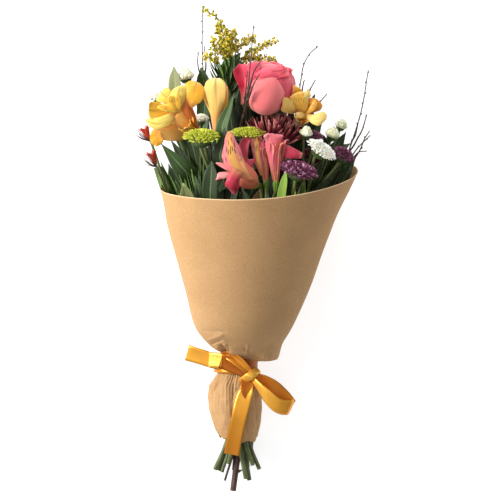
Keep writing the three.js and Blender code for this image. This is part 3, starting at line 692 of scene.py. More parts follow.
def below_the_tie(name):
    """The stem's way from its cut end up through the binding."""
    cut = next(stem[4] for stem in stems if stem[0] == name)
    x, z = slots[name]
    return [
        cut,
        (TIE[0] + 1.5 + x * 1.2, -194, TIE[1] + 0.4 + z * 1.15),
        (TIE[0] + 0.5 + x * 1.14, -156, TIE[1] + 0.2 + z * 1.12),
        (TIE[0] + x, -126, TIE[1] + z),
        (TIE[0] + x, -114, TIE[1] + z),
    ]


def rings(line):
    """Two directions square to the line at each of its points, without twist."""
    side = Vector((1, 0.1, 0.2))
    frames = []
    for i, point in enumerate(line):
        ahead = (line[min(i + 1, len(line) - 1)] - line[max(i - 1, 0)]).normalized()
        side = (side - ahead * side.dot(ahead)).normalized()
        frames.append((side, ahead.cross(side)))
    return frames


def stalk(skin, path, radii, step=4.0, sides=12, tone=0.35, nodes=(), cut=False, ridge=0.03):
    """A tapering stem in mm along path, with a swollen ring at each node. Its foot is a pale cut
    end if cut."""
    length = sum((Vector(b) - Vector(a)).length for a, b in zip(path, path[1:]))
    count = max(4, int(length / step))
    line = smooth_line(path, count)
    frames = rings(line)
    rows = []
    for i, (point, (a, b)) in enumerate(zip(line, frames)):
        share = i / (count - 1)
        radius = spline(radii, share)
        for at in nodes:
            radius *= 1 + 0.28 * math.exp(-(((share * length - at) / 2.2) ** 2))
        row = []
        for j in range(sides):
            angle = 2 * math.pi * j / sides
            size = radius * (1 + ridge * math.cos(5 * angle + 0.02 * share * length))
            row.append((point + (a * math.cos(angle) + b * math.sin(angle)) * size) / 1000)
        rows.append(row)
    skin.grid(rows, tone, closed=True, high=length / 100)
    foot, top = line[0] / 1000, line[-1] / 1000
    for row, end, face in ((rows[0], foot, 1.0 if cut else tone), (rows[-1], top, tone)):
        capped = [[end + (p - end) * size for p in row] for size in (1.0, 0.55, 0.02)]
        skin.grid(capped, face, closed=True)
    return line


def stem_finish(name, low, high, cut_face, scars):
    """Bark or green skin with streaks along it. A tone of 1 is the freshly cut end."""
    finish = Finish(name, 0.55)
    where, tone = finish.map()[0], finish.tone()
    streak = finish.noise(finish.stretched(where, (9, 2.5, 1)), 2.2, 5.0)
    blotch = finish.noise(where, scars, 2.0)
    level = finish.sum("ADD", finish.sum("MULTIPLY_ADD", streak, tone, 0.0), blotch)
    shade = finish.ramp(level, (0.42, low), last=(0.82, high))
    pale = finish.sum("GREATER_THAN", tone, 0.9)
    finish.surface({"Base Color": finish.mix(pale, shade, cut_face)})
    finish.relief(streak, 0.35, 0.0005)
    return finish


def along(line, y):
    """The first place on a stem, in mm, that is as far along the bouquet as y."""
    return next((p for p in line if p.y >= y and p.y > -100), line[-1])


RUN = 9  # straight run of a stem into its bloom


def to_seat(seat):
    """The last two points of a stem or branch that ends in a bloom."""
    at, facing = Vector(seats[seat][0]), Vector(seats[seat][1]).normalized()
    return [at - facing * RUN, at]


def thorn(skin, line, radius, far, angle, size):
    """Flat at its foot and hooked towards the cut end. The lowest is the stub of a cut branch, which
    leans the other way."""
    i = min(len(line) - 2, int(far / 4.0))
    a, b = rings(line)[i]
    ahead = (line[i + 1] - line[i]).normalized()
    outward = a * math.cos(angle) + b * math.sin(angle)
    foot = line[i] + outward * (radius * 0.7)
    tip = foot + outward * size + ahead * size * (0.65 if far == 22 else -0.45)
    bend = foot + outward * size * 0.45
    rows = []
    for k in range(6):
        t = k / 5
        middle = foot * (1 - t) ** 2 + bend * 2 * t * (1 - t) + tip * t * t
        wide = 1.5 * (1 - t) + 0.05
        turns = [q * math.pi / 4 for q in range(8)]
        rows.append([
            (middle + (ahead * math.cos(turn) * 1.5 + a.cross(ahead) * math.sin(turn)) * wide) / 1000
            for turn in turns
        ])
    skin.grid(rows, 0.3, closed=True)


green_skin = stem_finish("green_stem", "2A3018", "64703E", "98A070", 6.0)
woody_skin = stem_finish("woody_stem", "2C1B17", "5C3E32", "7A6448", 9.0)
# Each grown stem and branch, as a line of places, for the leaves.
grew, branches = {}, {}
for name, ring, side, radius, cut, via, ends in stems:
    if name.startswith("twig"):
        continue
    skin = Skin()
    path = below_the_tie(name) + via
    joints = [34 + 47 * i + 9 * math.sin(5 * i + side) for i in range(8)]
    tone = 0.2 + 0.25 * ((side * 7 + ring * 3) % 10) / 10
    if name == "rose":
        path[-1:] = to_seat("rose")
        ends, tone = [], 0.3
    radii = [radius * 1.02, radius * 0.95, radius * 0.85]
    grew[name] = stalk(skin, path, radii, tone=tone, nodes=joints, cut=True)
    for end in ends:
        thin = 1.0 if end.startswith("bud") else radius * 0.7
        fork = [path[-1], *to_seat(end)]
        branches[end] = stalk(skin, fork, [thin * 1.05, thin, thin * 1.08], step=3.0, tone=tone + 0.12)
    if name == "rose":
        for place in [
            (22, 0.0, 6.4), (37, 2.6, 4.0), (52, 5.0, 4.2), (150, 1.9, 4.0), (190, 4.2, 4.4),
            (236, 0.8, 4.2),
        ]:
            thorn(skin, grew[name], radius, *place)
    woody = name == "rose"
    piece = skin.made(name + "_stem_grown", woody_skin if woody else green_skin)
    in_place(piece, "woody_stem" if woody else "green_stem", name + "_stem")


# ---------------------------------------------------------------- leaves
# Glossy, lance-shaped leaves left on the stems above the tie. Each blade is folded along its
# midrib, arches over under its own weight and has slanting side veins.
# name, stem or branch, how far along it the foot is, middle, tip, width, way across, fold, tone.
leaves = [
    ("leaf_left_broad", "yellow_alstroemeria", 45, (-70, 79, 94), (-93, 105, 99), 21, (0.5, 0.8, 0.2), 0.2,
     0.30),
    ("leaf_left_bright", "yellow_alstroemeria", 21, (-64, 53, 74), (-82, 89, 83), 10, (0.9, 0.4, 0), 0.3,
     0.72),
    ("leaf_left_outer", "scarlet", 9, (-80, 49, 61), (-96, 91, 68), 9, (0.9, 0.3, 0.2), 0.3, 0.42),
    ("leaf_left_pale", "yellow_alstroemeria", 1, (-61, 35, 90), (-71, 66, 108), 17, (0.9, 0.2, 0.3), 0.25,
     0.84),
    ("leaf_centre_round", "green_chrysanthemum", 11, (-44, 49, 104), (-43, 87, 114), 17, (0.9, 0, 0.4),
     0.25, 0.16),
    ("leaf_centre_dark", "green_right", 63, (-35, 89, 112), (-30, 119, 118), 15, (0.9, -0.2, 0.3), 0.3,
     0.16),
    ("leaf_centre_lance", "green_right", 79, (-33, 117, 107), (-21, 154, 110), 13, (0.9, -0.3, 0.3), 0.3,
     0.34),
    ("leaf_top_pale", "white_top", 109, (-79, 152, 66), (-82, 184, 70), 15, (0.9, 0.1, 0.5), 0.25, 0.92),
    ("leaf_top_dark", "white_left", 93, (-51, 160, 54), (-55, 185, 60), 17, (0.9, 0.1, 0.3), 0.3, 0.30),
    ("leaf_front_left_blade", "plum_chrysanthemum", 5, (25, 50, 110), (29, 78, 118), 10, (0.8, 0, 0.6),
     0.3, 0.72),
    ("leaf_front_right_blade", "plum_front", 33, (45, 51, 106), (47, 71, 112), 8, (0.9, 0, 0.4), 0.3, 0.50),
    ("leaf_right_blue", "leafy_right", 67, (76, 95, 68), (90, 119, 70), 17, (0.8, -0.5, 0.2), 0.2, 0.28),
    ("leaf_right_low", "leafy_right", 27, (70, 59, 80), (94, 91, 86), 10, (0.9, -0.3, 0.3), 0.3, 0.20),
    ("leaf_back_left", "leafy_back_left", 71, (-70, 113, 24), (-92, 149, 36), 22, (0.9, 0.3, 0.2), 0.2,
     0.18),
    ("leaf_back_middle_left", "leafy_back", 75, (-24, 117, 24), (-36, 173, 36), 22, (0.9, 0.2, 0.2), 0.2,
     0.22),
    ("leaf_back_middle_right", "leafy_back_right", 67, (22, 119, 24), (16, 173, 36), 22, (0.9, 0, 0.2),
     0.2, 0.16),
    ("leaf_back_right", "leafy_back_right", 81, (56, 116, 26), (70, 142, 36), 18, (0.9, -0.3, 0.2), 0.2,
     0.2),
]
# Outlines: a blade's width from foot to tip, as a share of its greatest.
LANCE = [0.10, 0.16, 0.62, 0.94, 1.0, 0.90, 0.66, 0.34, 0.03]
BLUNT = [0.10, 0.3, 0.55, 0.75, 0.92, 1.0, 0.98, 0.80, 0.12]
FULL = [0.10, 0.30, 0.66, 0.90, 1.0, 0.98, 0.86, 0.58, 0.04]
blunt_ones = ("leaf_top_pale", "leaf_top_dark", "leaf_centre_round", "leaf_front_left_blade",
              "leaf_left_pale")


def blade(skin, foot, middle, tip, width, across, fold, tone, length=22, columns=8, wave=0.5, outline=LANCE):
    """A leaf blade in mm from its foot, over its middle, to its tip. length and columns are its steps
    along and across, and wave is how much its edges wave."""
    foot, middle, tip = Vector(foot), Vector(middle), Vector(tip)
    out = foot.lerp(middle, 0.5) + (middle - foot).orthogonal().normalized() * 0.5
    path = [foot, out, middle, middle.lerp(tip, 0.55) + Vector((0, 0, 0.02 * width)), tip]
    line = smooth_line(path, length)
    rows = []
    for i, point in enumerate(line):
        t = i / (length - 1)
        ahead = (line[min(i + 1, length - 1)] - line[max(i - 1, 0)]).normalized()
        side = Vector(across)
        side = (side - ahead * side.dot(ahead)).normalized()
        up = side.cross(ahead)
        up = up if up.z > 0 else -up
        half = width / 2 * spline(outline, t)
        row = []
        for j in range(columns + 1):
            u = j / columns * 2 - 1
            ripple = math.sin(5.5 * math.pi * t + (1.3 if u < 0 else 0))
            lift = fold * abs(u) * half + wave * u * u * ripple * half / 6
            place = point + side * (u * half) + up * lift
            place.z = max(place.z, 1.0)
            row.append(place / 1000)
        rows.append(row)
    skin.grid(rows, tone)


def leaf_finish():
    """Waxy leaf: its green follows the tone, with a pale midrib and slanting side veins."""
    finish = Finish("leaf_green", 0.5)
    where, across, along_it = finish.map()
    off = finish.from_middle(across)
    veins = finish.sum("SINE", finish.sum("MULTIPLY", finish.sum("MULTIPLY_ADD", off, -1.1, along_it), 75.0))
    rib = finish.span(off, 0.055, 0.01)
    drawn = finish.sum("MULTIPLY_ADD", finish.span(veins, 0.72, 1.0), 0.28, rib)
    level = finish.sum("MULTIPLY_ADD", finish.noise(where, 5.0, 4.0), 0.3, finish.tone())
    greens = (0.22, "1C2814"), (0.45, "2F4420"), (0.72, "54762A"), (0.92, "86A83C")
    shade = finish.ramp(level, *greens, last=(1.0, "7C8058"))
    finish.surface({"Base Color": finish.mix(drawn, shade, "5A6B40", "SCREEN"), "Specular IOR Level": 0.32})
    finish.relief(drawn, 0.35, 0.0006)
    return finish


def leafy(skin, name, *nodes, thickness=0.0004):
    """Ties finished leaves, or any other green part of a plant, to the bouquet."""
    in_place(skin.made(name, leaf_green, thickness=thickness), "leaf", *nodes)


leaf_green = leaf_finish()
for name, stem, y, *shape, tone in leaves:
    skin = Skin()
    outline = BLUNT if name in blunt_ones else LANCE
    blade(skin, along(branches.get(stem) or grew[stem], y), *shape, tone, outline=outline)
    leafy(skin, name + "_blade", name)


# ---------------------------------------------------------------- foliage in the mouth
# The leaves left on the lower stems fill the mouth of the wrap behind and between the flowers.
# They are the stems' own leaves: narrower and darker towards the middle of the bunch.
def held_in(point, share=0.93):
    """The point in mm, pulled in where it would pass through the paper."""
    x, y, z = point
    if y > 76:  # clear of the wrap's mouth
        return Vector((x, y, max(z, 3.0)))
    for a, b in zip(stations, stations[1:]):
        if a[0] <= y <= b[0]:
            t = (y - a[0]) / (b[0] - a[0])
            x0, wide, z0, high, deep = (a[k] + (b[k] - a[k]) * t for k in (1, 2, 3, 4, 5))
            dx, dz = (x - x0) / wide, (z - z0) / (high if z > z0 else deep)
            size = math.hypot(dx, dz)
            if size > share:
                return Vector((x0 + (x - x0) * share / size, y, z0 + (z - z0) * share / size))
    return Vector((x, y, z))


random.seed(17)
# Leaves all round a stem: how many, from and to how far along it, how long and wide, and their tone.
for stem, count, far, long, wide, dark in [
    ("leafy_back_left", 9, (-10, 118), 44, 15, 0.02), ("leafy_back", 9, (-10, 126), 46, 15, 0.0),
    ("leafy_back_right", 9, (-10, 118), 44, 15, 0.02), ("leafy_right", 10, (0, 100), 38, 12, 0.08),
    ("green_chrysanthemum", 7, (-5, 34), 40, 13, 0.12), ("plum_chrysanthemum", 7, (-20, 24), 36, 12, 0.08),
    ("wine_chrysanthemum", 7, (-12, 38), 40, 13, 0.05), ("white_chrysanthemum", 7, (-10, 32), 36, 12, 0.1),
    ("white_chrysanthemum_left", 8, (-5, 56), 38, 13, 0.1),
    ("yellow_alstroemeria", 7, (-15, 62), 40, 12, 0.2),
    ("golden_alstroemeria", 6, (0, 92), 40, 11, 0.08), ("pink_alstroemeria", 6, (-25, 22), 34, 11, 0.2),
    ("rose", 7, (20, 104), 34, 17, 0.1), ("scarlet", 5, (-5, 44), 28, 8, 0.25),
    ("goldenrod", 6, (10, 108), 34, 8, 0.18),
]:
    line, skin = grew[stem], Skin()
    for i in range(count):
        foot = along(line, far[0] + (far[1] - far[0]) * (i + 0.5) / count)
        turn = 2.4 * i + random.uniform(-0.5, 0.5)
        size = long * random.uniform(0.75, 1.1)
        outward = Vector((math.cos(turn) * 0.62, 0.85, math.sin(turn) * 0.45))
        middle = held_in(foot + outward * size * 0.5 + Vector((0, 0, 2)))
        tip = held_in(foot + outward * size * random.uniform(0.85, 1.0)
                      + Vector((math.cos(turn) * 6, -2, -3)))
        across = (math.sin(turn) + 0.3, -0.25, -math.cos(turn) + 1.1)
        blade(skin, foot, middle, tip, wide * random.uniform(0.8, 1.1), across, 0.25,
              dark + random.uniform(0, 0.16), length=16, columns=6, wave=0.9)
    leafy(skin, stem + "_leaves")

# Broad dark leaves stand behind and beside the blooms: foot on a stem, middle, tip, width, tone.
skin = Skin()
for stem, y, middle, tip, wide, tone in [
    ("rose", 60, (-22, 112, 76), (-30, 168, 84), 15, 0.10),
    ("rose", 75, (-16, 122, 70), (-18, 150, 76), 14, 0.02),
    ("goldenrod", 70, (-38, 118, 66), (-46, 160, 70), 13, 0.12),
    ("goldenrod", 85, (-26, 132, 64), (-32, 172, 68), 14, 0.06),
    ("goldenrod", 95, (-22, 140, 62), (-16, 176, 64), 13, 0.10),
    ("rose", 40, (6, 84, 96), (-10, 116, 100), 13, 0.04),
    ("wine_chrysanthemum", 20, (34, 66, 84), (50, 92, 88), 13, 0.05),
    ("wine_chrysanthemum", 10, (12, 60, 88), (16, 98, 96), 12, 0.02),
    ("golden_alstroemeria", 60, (52, 96, 56), (64, 130, 60), 13, 0.12),
    ("leafy_right", 50, (62, 80, 66), (74, 118, 70), 12, 0.15),
    ("leafy_right", 40, (54, 66, 84), (66, 92, 94), 11, 0.08),
    ("plum_chrysanthemum", -10, (24, 34, 100), (34, 66, 110), 12, 0.06),
    ("pink_alstroemeria", 0, (-2, 36, 100), (-14, 62, 106), 12, 0.10),
    ("pink_alstroemeria", -10, (8, 30, 104), (12, 56, 112), 11, 0.04),
    ("green_chrysanthemum", 0, (-26, 46, 100), (-14, 80, 104), 14, 0.08),
    ("green_chrysanthemum", 15, (-20, 66, 98), (-6, 96, 100), 13, 0.04),
    ("green_chrysanthemum", -5, (-50, 40, 96), (-60, 74, 98), 13, 0.22),
    ("yellow_alstroemeria", 10, (-62, 44, 80), (-80, 70, 88), 12, 0.25),
    ("yellow_alstroemeria", 30, (-60, 70, 84), (-72, 100, 86), 13, 0.06),
    ("white_chrysanthemum_left", 30, (-66, 84, 50), (-86, 112, 56), 13, 0.1),
    ("white_chrysanthemum_left", 50, (-62, 100, 56), (-76, 140, 62), 14, 0.14),
    ("plum_chrysanthemum", 20, (54, 48, 98), (72, 72, 100), 12, 0.1),
    ("rose", 70, (-12, 112, 72), (-8, 152, 78), 17, 0.03), ("rose", 80, (2, 116, 68), (8, 146, 74), 16, 0.0),
    ("wine_chrysanthemum", 34, (32, 104, 70), (36, 146, 80), 16, 0.03),
    ("wine_chrysanthemum", 30, (42, 96, 68), (52, 130, 72), 14, 0.08),
    ("goldenrod", 60, (-24, 112, 66), (-20, 152, 72), 15, 0.06),
    ("rose", 84, (-13, 138, 70), (-12, 174, 76), 17, 0.04),
    ("rose", 74, (-4, 122, 66), (-1, 152, 70), 18, 0.02),
    ("plum_chrysanthemum", 4, (36, 48, 109), (37, 73, 116), 6, 0.76),
    ("goldenrod", 95, (-30, 140, 66), (-38, 184, 68), 13, 0.08),
    ("scarlet", 5, (-72, 44, 52), (-84, 84, 50), 17, 0.16),
    ("scarlet", -5, (-70, 40, 40), (-84, 76, 38), 17, 0.05),
    ("leafy_back_left", 40, (-62, 66, 22), (-76, 100, 26), 19, 0.08),
    ("white_chrysanthemum_left", 5, (-62, 44, 46), (-70, 82, 48), 17, 0.12),
    ("leafy_back_left", 20, (-56, 46, 26), (-70, 80, 30), 17, 0.04),
    ("scarlet", 15, (-78, 56, 60), (-88, 88, 62), 12, 0.30),
    ("leafy_right", 45, (72, 70, 48), (92, 98, 50), 17, 0.10),
    ("leafy_right", 30, (66, 58, 40), (86, 88, 40), 18, 0.04),
    ("leafy_right", 20, (62, 50, 56), (84, 78, 62), 15, 0.14),
    ("leafy_back_right", 40, (50, 64, 22), (68, 98, 26), 19, 0.06),
    ("leafy_right", 55, (78, 78, 60), (96, 100, 64), 13, 0.18),
    ("leafy_back_right", 20, (46, 46, 28), (66, 78, 30), 18, 0.03),
    ("white_chrysanthemum", 10, (58, 46, 76), (76, 70, 82), 13, 0.08),
    ("plum_chrysanthemum", 0, (44, 36, 96), (60, 62, 104), 12, 0.05),
    ("white_chrysanthemum", 20, (62, 60, 84), (84, 84, 88), 12, 0.12),
    ("leafy_back_right", 90, (50, 128, 36), (60, 160, 44), 15, 0.1),
    ("leafy_right", 25, (84, 66, 62), (99, 91, 66), 16, 0.06),
    ("leafy_right", 15, (80, 60, 70), (96, 84, 74), 15, 0.1),
    ("leafy_right", 35, (86, 76, 54), (102, 98, 58), 15, 0.1),
    ("white_chrysanthemum", 0, (72, 56, 84), (86, 82, 86), 14, 0.03),
    ("white_chrysanthemum", -6, (60, 46, 92), (74, 72, 96), 14, 0.0),
    ("plum_chrysanthemum", -4, (50, 40, 98), (62, 66, 104), 12, 0.02),
    ("scarlet", 9, (-98, 86, 68), (-94, 57, 76), 9, 0.5),
    ("golden_alstroemeria", 60, (22, 120, 60), (32, 152, 60), 16, 0.03),
]:
    across = (0.9, 0.05 * (wide - 12), 0.45)
    blade(skin, along(grew[stem], y), middle, tip, wide, across, 0.25, tone,
          length=18, columns=6, wave=0.9, outline=FULL)
leafy(skin, "broad_dark_leaves")
# Thin grassy blades rise among the leaves at the left.
skin = Skin()
for i in range(13):
    foot = along(grew["yellow_alstroemeria"], -6 + 2.5 * i)
    tip = (-90 + 3.0 * i + 5 * math.sin(2.3 * i), 84 + 12 * math.sin(1.7 * i) + 1.2 * i,
           92 + 5 * math.cos(i))
    middle = (0.5 * (foot.x + tip[0]) - 5, 0.5 * (foot.y + tip[1]) + 2, 92 + 3 * math.sin(i))
    tone = 0.35 + 0.25 * (i % 3) / 2
    blade(skin, foot, middle, tip, 1.7, (0.9, 0.2, 0.3), 0.3, tone, length=16, columns=2, wave=0)
leafy(skin, "grassy_blades", thickness=0.0003)


# ---------------------------------------------------------------- rose
# One large coral rose, half open. Its petals wrap round each other from a tight middle to the
# broad outer ones, whose lips roll back. Five green sepals hold it from below.
def bloom_frame(seat, shift=(0, 0, 0), facing=None):
    """The frame of a bloom in mm: its foot is at the seat, moved by shift in its own frame, and its
    own Z is the way it faces."""
    at, up = seats[seat]
    up = Vector(facing or up).normalized()
    side = Vector((1, 0, 0))
    side = (side - up * side.dot(up)).normalized()
    frame = Matrix((side, up.cross(side), up)).transposed().to_4x4()
    frame.translation = Vector(at)
    return frame @ Matrix.Translation(shift)


def petal(skin, rest, turn, spine, widths, bend=0.0, bow=0.0, ruffle=(0, 1, 0), twist=0.0,
          tone=0.5, steps=(12, 8), lean=0.0):
    """One petal of a bloom. spine gives reach and height in mm from foot to lip, bend curves it
    across its width, bow rounds its lip, and ruffle is how much, how often and where its edge waves.
    twist turns it round its length, and lean sets its lip aside."""
    rows = []
    turned = rest @ Matrix.Rotation(math.radians(turn), 4, "Z")
    for i in range(steps[0] + 1):
        t = i / steps[0]
        half = spline(widths, t) / 2
        row = []
        for j in range(steps[1] + 1):
            u = j / steps[1] * 2 - 1
            at = t * (1 - bow * abs(u) ** 2.2)
            reach, height = spline(spine, at)
            r0, h0 = spline(spine, at - 0.02)
            r1, h1 = spline(spine, at + 0.02)
            size = math.hypot(r1 - r0, h1 - h0) or 1
            inner = (-(h1 - h0) / size, (r1 - r0) / size)
            side, lift = u * half, 0.0
            if bend:
                side, lift = math.sin(side * bend) / bend, (1 - math.cos(side * bend)) / bend
            wave = math.sin(2 * math.pi * ruffle[1] * t + ruffle[2] + (2.1 if u < 0 else 0))
            lift += ruffle[0] * u * u * t * wave
            cos, sin = math.cos(twist * t), math.sin(twist * t)
            side, lift = side * cos - lift * sin, side * sin + lift * cos
            place = Vector((reach + inner[0] * lift, side + lean * t * t, height + inner[1] * lift))
            row.append(turned @ place / 1000)
        rows.append(row)
    skin.grid(rows, tone)


def shaped(skin, edges, tone, steps=(14, 8), ruffle=0.4):
    """A petal laid out between its two edges, foot to lip. Each row in mm: one edge's x, y, z, the
    other's x, y, z, and how far the middle stands up between them."""
    rows = []
    for i in range(steps[0] + 1):
        t = i / steps[0]
        here, back, ahead = spline(edges, t), spline(edges, t - 0.03), spline(edges, t + 0.03)
        one, other = Vector(here[:3]), Vector(here[3:6])
        along_it = Vector(ahead[:3]) + Vector(ahead[3:6]) - Vector(back[:3]) - Vector(back[3:6])
        face = (other - one).cross(along_it).normalized()
        face = face if face.z > 0 else -face
        row = []
        for j in range(steps[1] + 1):
            u = j / steps[1]
            far = abs(2 * u - 1)
            wave = ruffle * far**3 * math.sin(11 * t + 9 * tone + (2.1 if u < 0.5 else 0))
            wave += 0.9 * ruffle * noise.noise(Vector((6 * u + 20 * tone, 3 * t, 0)))
            row.append((one.lerp(other, u) + face * (here[6] * (1 - far**2.2) + wave)) / 1000)
        rows.append(row)
    skin.grid(rows, tone)


def revolved(skin, rest, profile, sides, tone, size=1.0, ribs=0.0):
    """A green knob at a bloom's foot: profile gives radius and height in mm, ribs its six ribs."""
    rows = []
    for radius, height in profile:
        row = []
        for k in range(sides):
            turn = 2 * math.pi * k / sides
            reach = radius * size * (1 + ribs * math.cos(6 * turn))
            row.append(rest @ Vector((reach * math.cos(turn), reach * math.sin(turn), height)) / 1000)
        rows.append(row)
    skin.grid(rows, tone, closed=True)


# Light goes into a petal and comes out again: how deep, in metres, for red, green and blue.
PETAL_DEPTH = (0.004, 0.0024, 0.0016)


def petal_finish(name, dark, middle, light, foot, lip, veins=0.35, roughness=0.5, sheen=0.12, rib=None):
    """A petal's velvet skin. Its colour follows its tone from dark to light and changes to foot and
    to lip at its two ends, with fine veins along it. rib is the colour of its midline, if it shows."""
    finish = Finish(name, roughness)
    where, across, along_it = finish.map()
    vein = finish.noise(finish.stretched(where, (16, 1.2, 1)), 2.4, 4.0)
    level = finish.sum("MULTIPLY_ADD", finish.noise(where, 3.5, 2.0), 0.25, finish.tone())
    level = finish.sum("SUBTRACT", level, 0.125)
    shade = finish.ramp(level, (0.0, dark), (0.5, middle), last=(1.0, light))
    footed = finish.mix(finish.span(along_it, 0.34, 0.04, to_high=0.85), shade, foot)
    lipped = finish.mix(finish.span(along_it, 0.80, 1.0, to_high=0.7), footed, lip)
    skin = finish.mix(1.0, lipped, finish.span(vein, 0.3, 0.7, 1 - veins, 1.05), "MULTIPLY")
    if rib:
        near = finish.span(finish.from_middle(across), 0.10, 0.01)
        share = finish.sum("MULTIPLY", near, finish.span(along_it, 0.25, 0.9, to_high=0.75))
        skin = finish.mix(share, skin, rib)
    finish.surface({
        "Base Color": skin, "Sheen Weight": sheen, "Subsurface Weight": 0.35,
        "Subsurface Radius": PETAL_DEPTH, "Specular IOR Level": 0.3,
    })
    finish.relief(vein, 0.25, 0.0005)
    return finish


random.seed(7)
coral = petal_finish("coral_petal", "B01C3C", "E04C62", "FA8A88", "EE8C84", "E4566A", veins=0.06,
                     roughness=0.55)
rose = Skin()
rest = bloom_frame("rose", (3.5, 0, 9)) @ Matrix.Diagonal((1, 1, 0.83, 1))
# The tight middle: short petals wound in a spiral.
for i in range(8):
    reach = 2.0 + 1.2 * i
    spine = [(1.5, 6), (reach + 3, 20), (reach + 2.5, 36), (reach - 0.8, 45), (reach - 0.6, 48)]
    petal(rose, rest, 137.5 * i + 40, spine, [6, 17 + i, 20 + 1.5 * i, 19 + i, 10],
          bend=1 / (reach + 2.5), bow=0.10, ruffle=(0.3, 1.2, i), tone=0.22 + 0.1 * (i % 2))
# The middle petals stand round it and close over it. turn, reach, lip height, width, roll, tone.
for i, (turn, reach, height, width, roll, tone) in enumerate([
    (120, 15.5, 51.5, 38, 0.8, 0.40), (25, 17.5, 51, 40, 0.8, 0.52), (200, 17.0, 51, 38, 1.0, 0.50),
    (305, 17.0, 50.5, 42, 0.8, 0.62), (75, 20.0, 50.5, 44, 1.6, 0.48), (160, 20.0, 50.5, 42, 2.0, 0.62),
    (238, 19.4, 49.5, 42, 1.4, 0.72), (345, 19.6, 49.5, 44, 1.2, 0.58),
]):
    spine = [(2, 3), (reach - 4, 8), (reach + 3.2, 20), (reach + 4.0, 34), (reach + 2.0, height - 7),
             (reach - 2.4, height - 1), (reach - 3.4 + roll, height + 0.6)]
    widths = [8, 26, width - 2, width, width - 2, width - 11, width * 0.34]
    petal(rose, rest, turn, spine, widths, bend=1 / (reach + 1.5), bow=0.05,
          ruffle=(0.5, 1.2, 1.7 * i), tone=tone, steps=(14, 10))
# The outer petals are broadest low down, and their lips roll outward.
for i, (turn, reach, height, width, roll, tone) in enumerate([
    (20, 23.6, 46.5, 42, 1.6, 0.42), (92, 23.5, 50, 46, 2.6, 0.40), (318, 22.0, 44.5, 40, 1.4, 0.46),
]):
    spine = [(2, 1), (reach - 10, 1.6), (reach - 1, 8), (reach + 1.2, 18), (reach + 0.4, 30),
             (reach - 1.6, height - 5), (reach - 1.8, height), (reach - 1.4 + roll, height + 0.4)]
    widths = [10, 28, width - 3, width, width - 3, width - 11, width - 20, width * 0.25]
    petal(rose, rest, turn, spine, widths, bend=1 / (reach + 1), bow=0.05,
          ruffle=(0.7, 1.0, 2.2 * i), tone=tone, steps=(18, 12))
# The petals seen from the front: the broad one, those that wrap the crown above it, the right and
# left outer ones, and the hollow one that has opened away at the left.
# These rows were worked out in millimetres by a separate program, from places and heights that were
# judged by eye. They are not driving dimensions. The rows of the alstroemerias are the same.
rose_shapes = [
    (0.88, [(4, 135, 101, 16, 135, 101, 2), (-3, 136, 108, 22, 137, 107, 5),
            (-6, 140, 113, 24, 141, 110, 8), (-7, 144, 117, 26, 146, 113, 9),
            (-6, 150, 120, 27, 151, 114, 9), (-3, 157, 121, 27, 158, 114, 9),
            (-2, 162, 120, 25, 164, 113, 8), (1, 167, 117, 23, 167, 111, 6),
            (3, 170, 112, 21, 170, 108, 4)]),
    (0.44, [(1, 184, 90, 18, 184, 90, 0), (-1, 180, 100, 24, 181, 96, 2), (-2, 176, 109, 26, 177, 103, 3),
            (-2, 172, 116, 25, 174, 110, 4), (-1, 169, 121, 23, 170, 115, 4),
            (1, 167, 124, 22, 168, 118, 3), (6, 166, 125, 18, 166, 121, 1)]),
    (0.4, [(18, 141, 97, 24, 143, 93, 1), (22, 147, 104, 30, 151, 91, 4), (23, 154, 108, 35, 159, 89, 5),
           (23, 161, 109, 39, 164, 88, 5), (23, 166, 110, 38, 170, 86, 5), (22, 171, 110, 35, 174, 86, 4),
           (21, 174, 108, 32, 178, 86, 2)]),
    (0.54, [(21, 163, 113, 34, 167, 95, 3), (19, 168, 115, 34, 172, 94, 4), (18, 171, 112, 34, 176, 92, 4),
            (17, 175, 110, 33, 179, 90, 3), (18, 179, 106, 29, 181, 90, 2),
            (20, 182, 100, 25, 183, 92, 1)]),
    (0.62, [(4, 175, 98, 21, 175, 96, 3), (3, 180, 97, 21, 180, 94, 3), (4, 184, 93, 18, 183, 90, 2),
            (6, 186, 88, 13, 186, 87, 1)]),
    (0.15, [(-7, 153, 100, -2, 151, 110, 2), (-8, 160, 105, 1, 159, 116, 3), (-9, 168, 108, 4, 167, 119, 4),
            (-9, 175, 108, 4, 174, 117, 4), (-9, 181, 104, 5, 180, 110, 3), (-6, 184, 98, 3, 184, 101, 1)]),
    (0.06, [(-9, 156, 92, -5, 154, 104, 2), (-10, 164, 96, -1, 163, 108, 3), (-10, 173, 98, 1, 171, 109, 3),
            (-9, 180, 97, 0, 179, 105, 2), (-7, 184, 94, -3, 184, 98, 1)]),
    (0.08, [(-15, 144, 92, -11, 144, 96, 0), (-15, 150, 99, -10, 149, 104, -2),
            (-16, 157, 103, -9, 156, 108, -4), (-18, 163, 106, -8, 163, 110, -5),
            (-21, 170, 107, -8, 169, 110, -6), (-22, 175, 107, -8, 175, 109, -6),
            (-19, 180, 104, -9, 180, 106, -4), (-16, 183, 100, -10, 183, 102, -1)]),
]
for tone, edges in rose_shapes:
    shaped(rose, edges, tone, steps=(18, 12))
in_place(rose.made("rose_petals", coral, thickness=0.0005, smooth=1), "coral_petal", "rose_bloom")

sepals = Skin()
for i in range(5):
    spine = [(0.5, -2), (8, -0.8), (15, 0.6), (20, 4), (22.5, 9 + 2 * (i % 3))]
    petal(sepals, rest, 72 * i + 54, spine, [5, 9, 7, 4, 0.4], bend=1 / 14, ruffle=(0.6, 2, i),
          tone=0.45, steps=(14, 6))
hip = [(3.2, -8), (4.6, -6.5), (6.2, -3.5), (6.0, -0.5), (4.5, 0.8), (0.1, 1.2)]
revolved(sepals, rest, hip, 16, 0.5)
leafy(sepals, "rose_sepals")


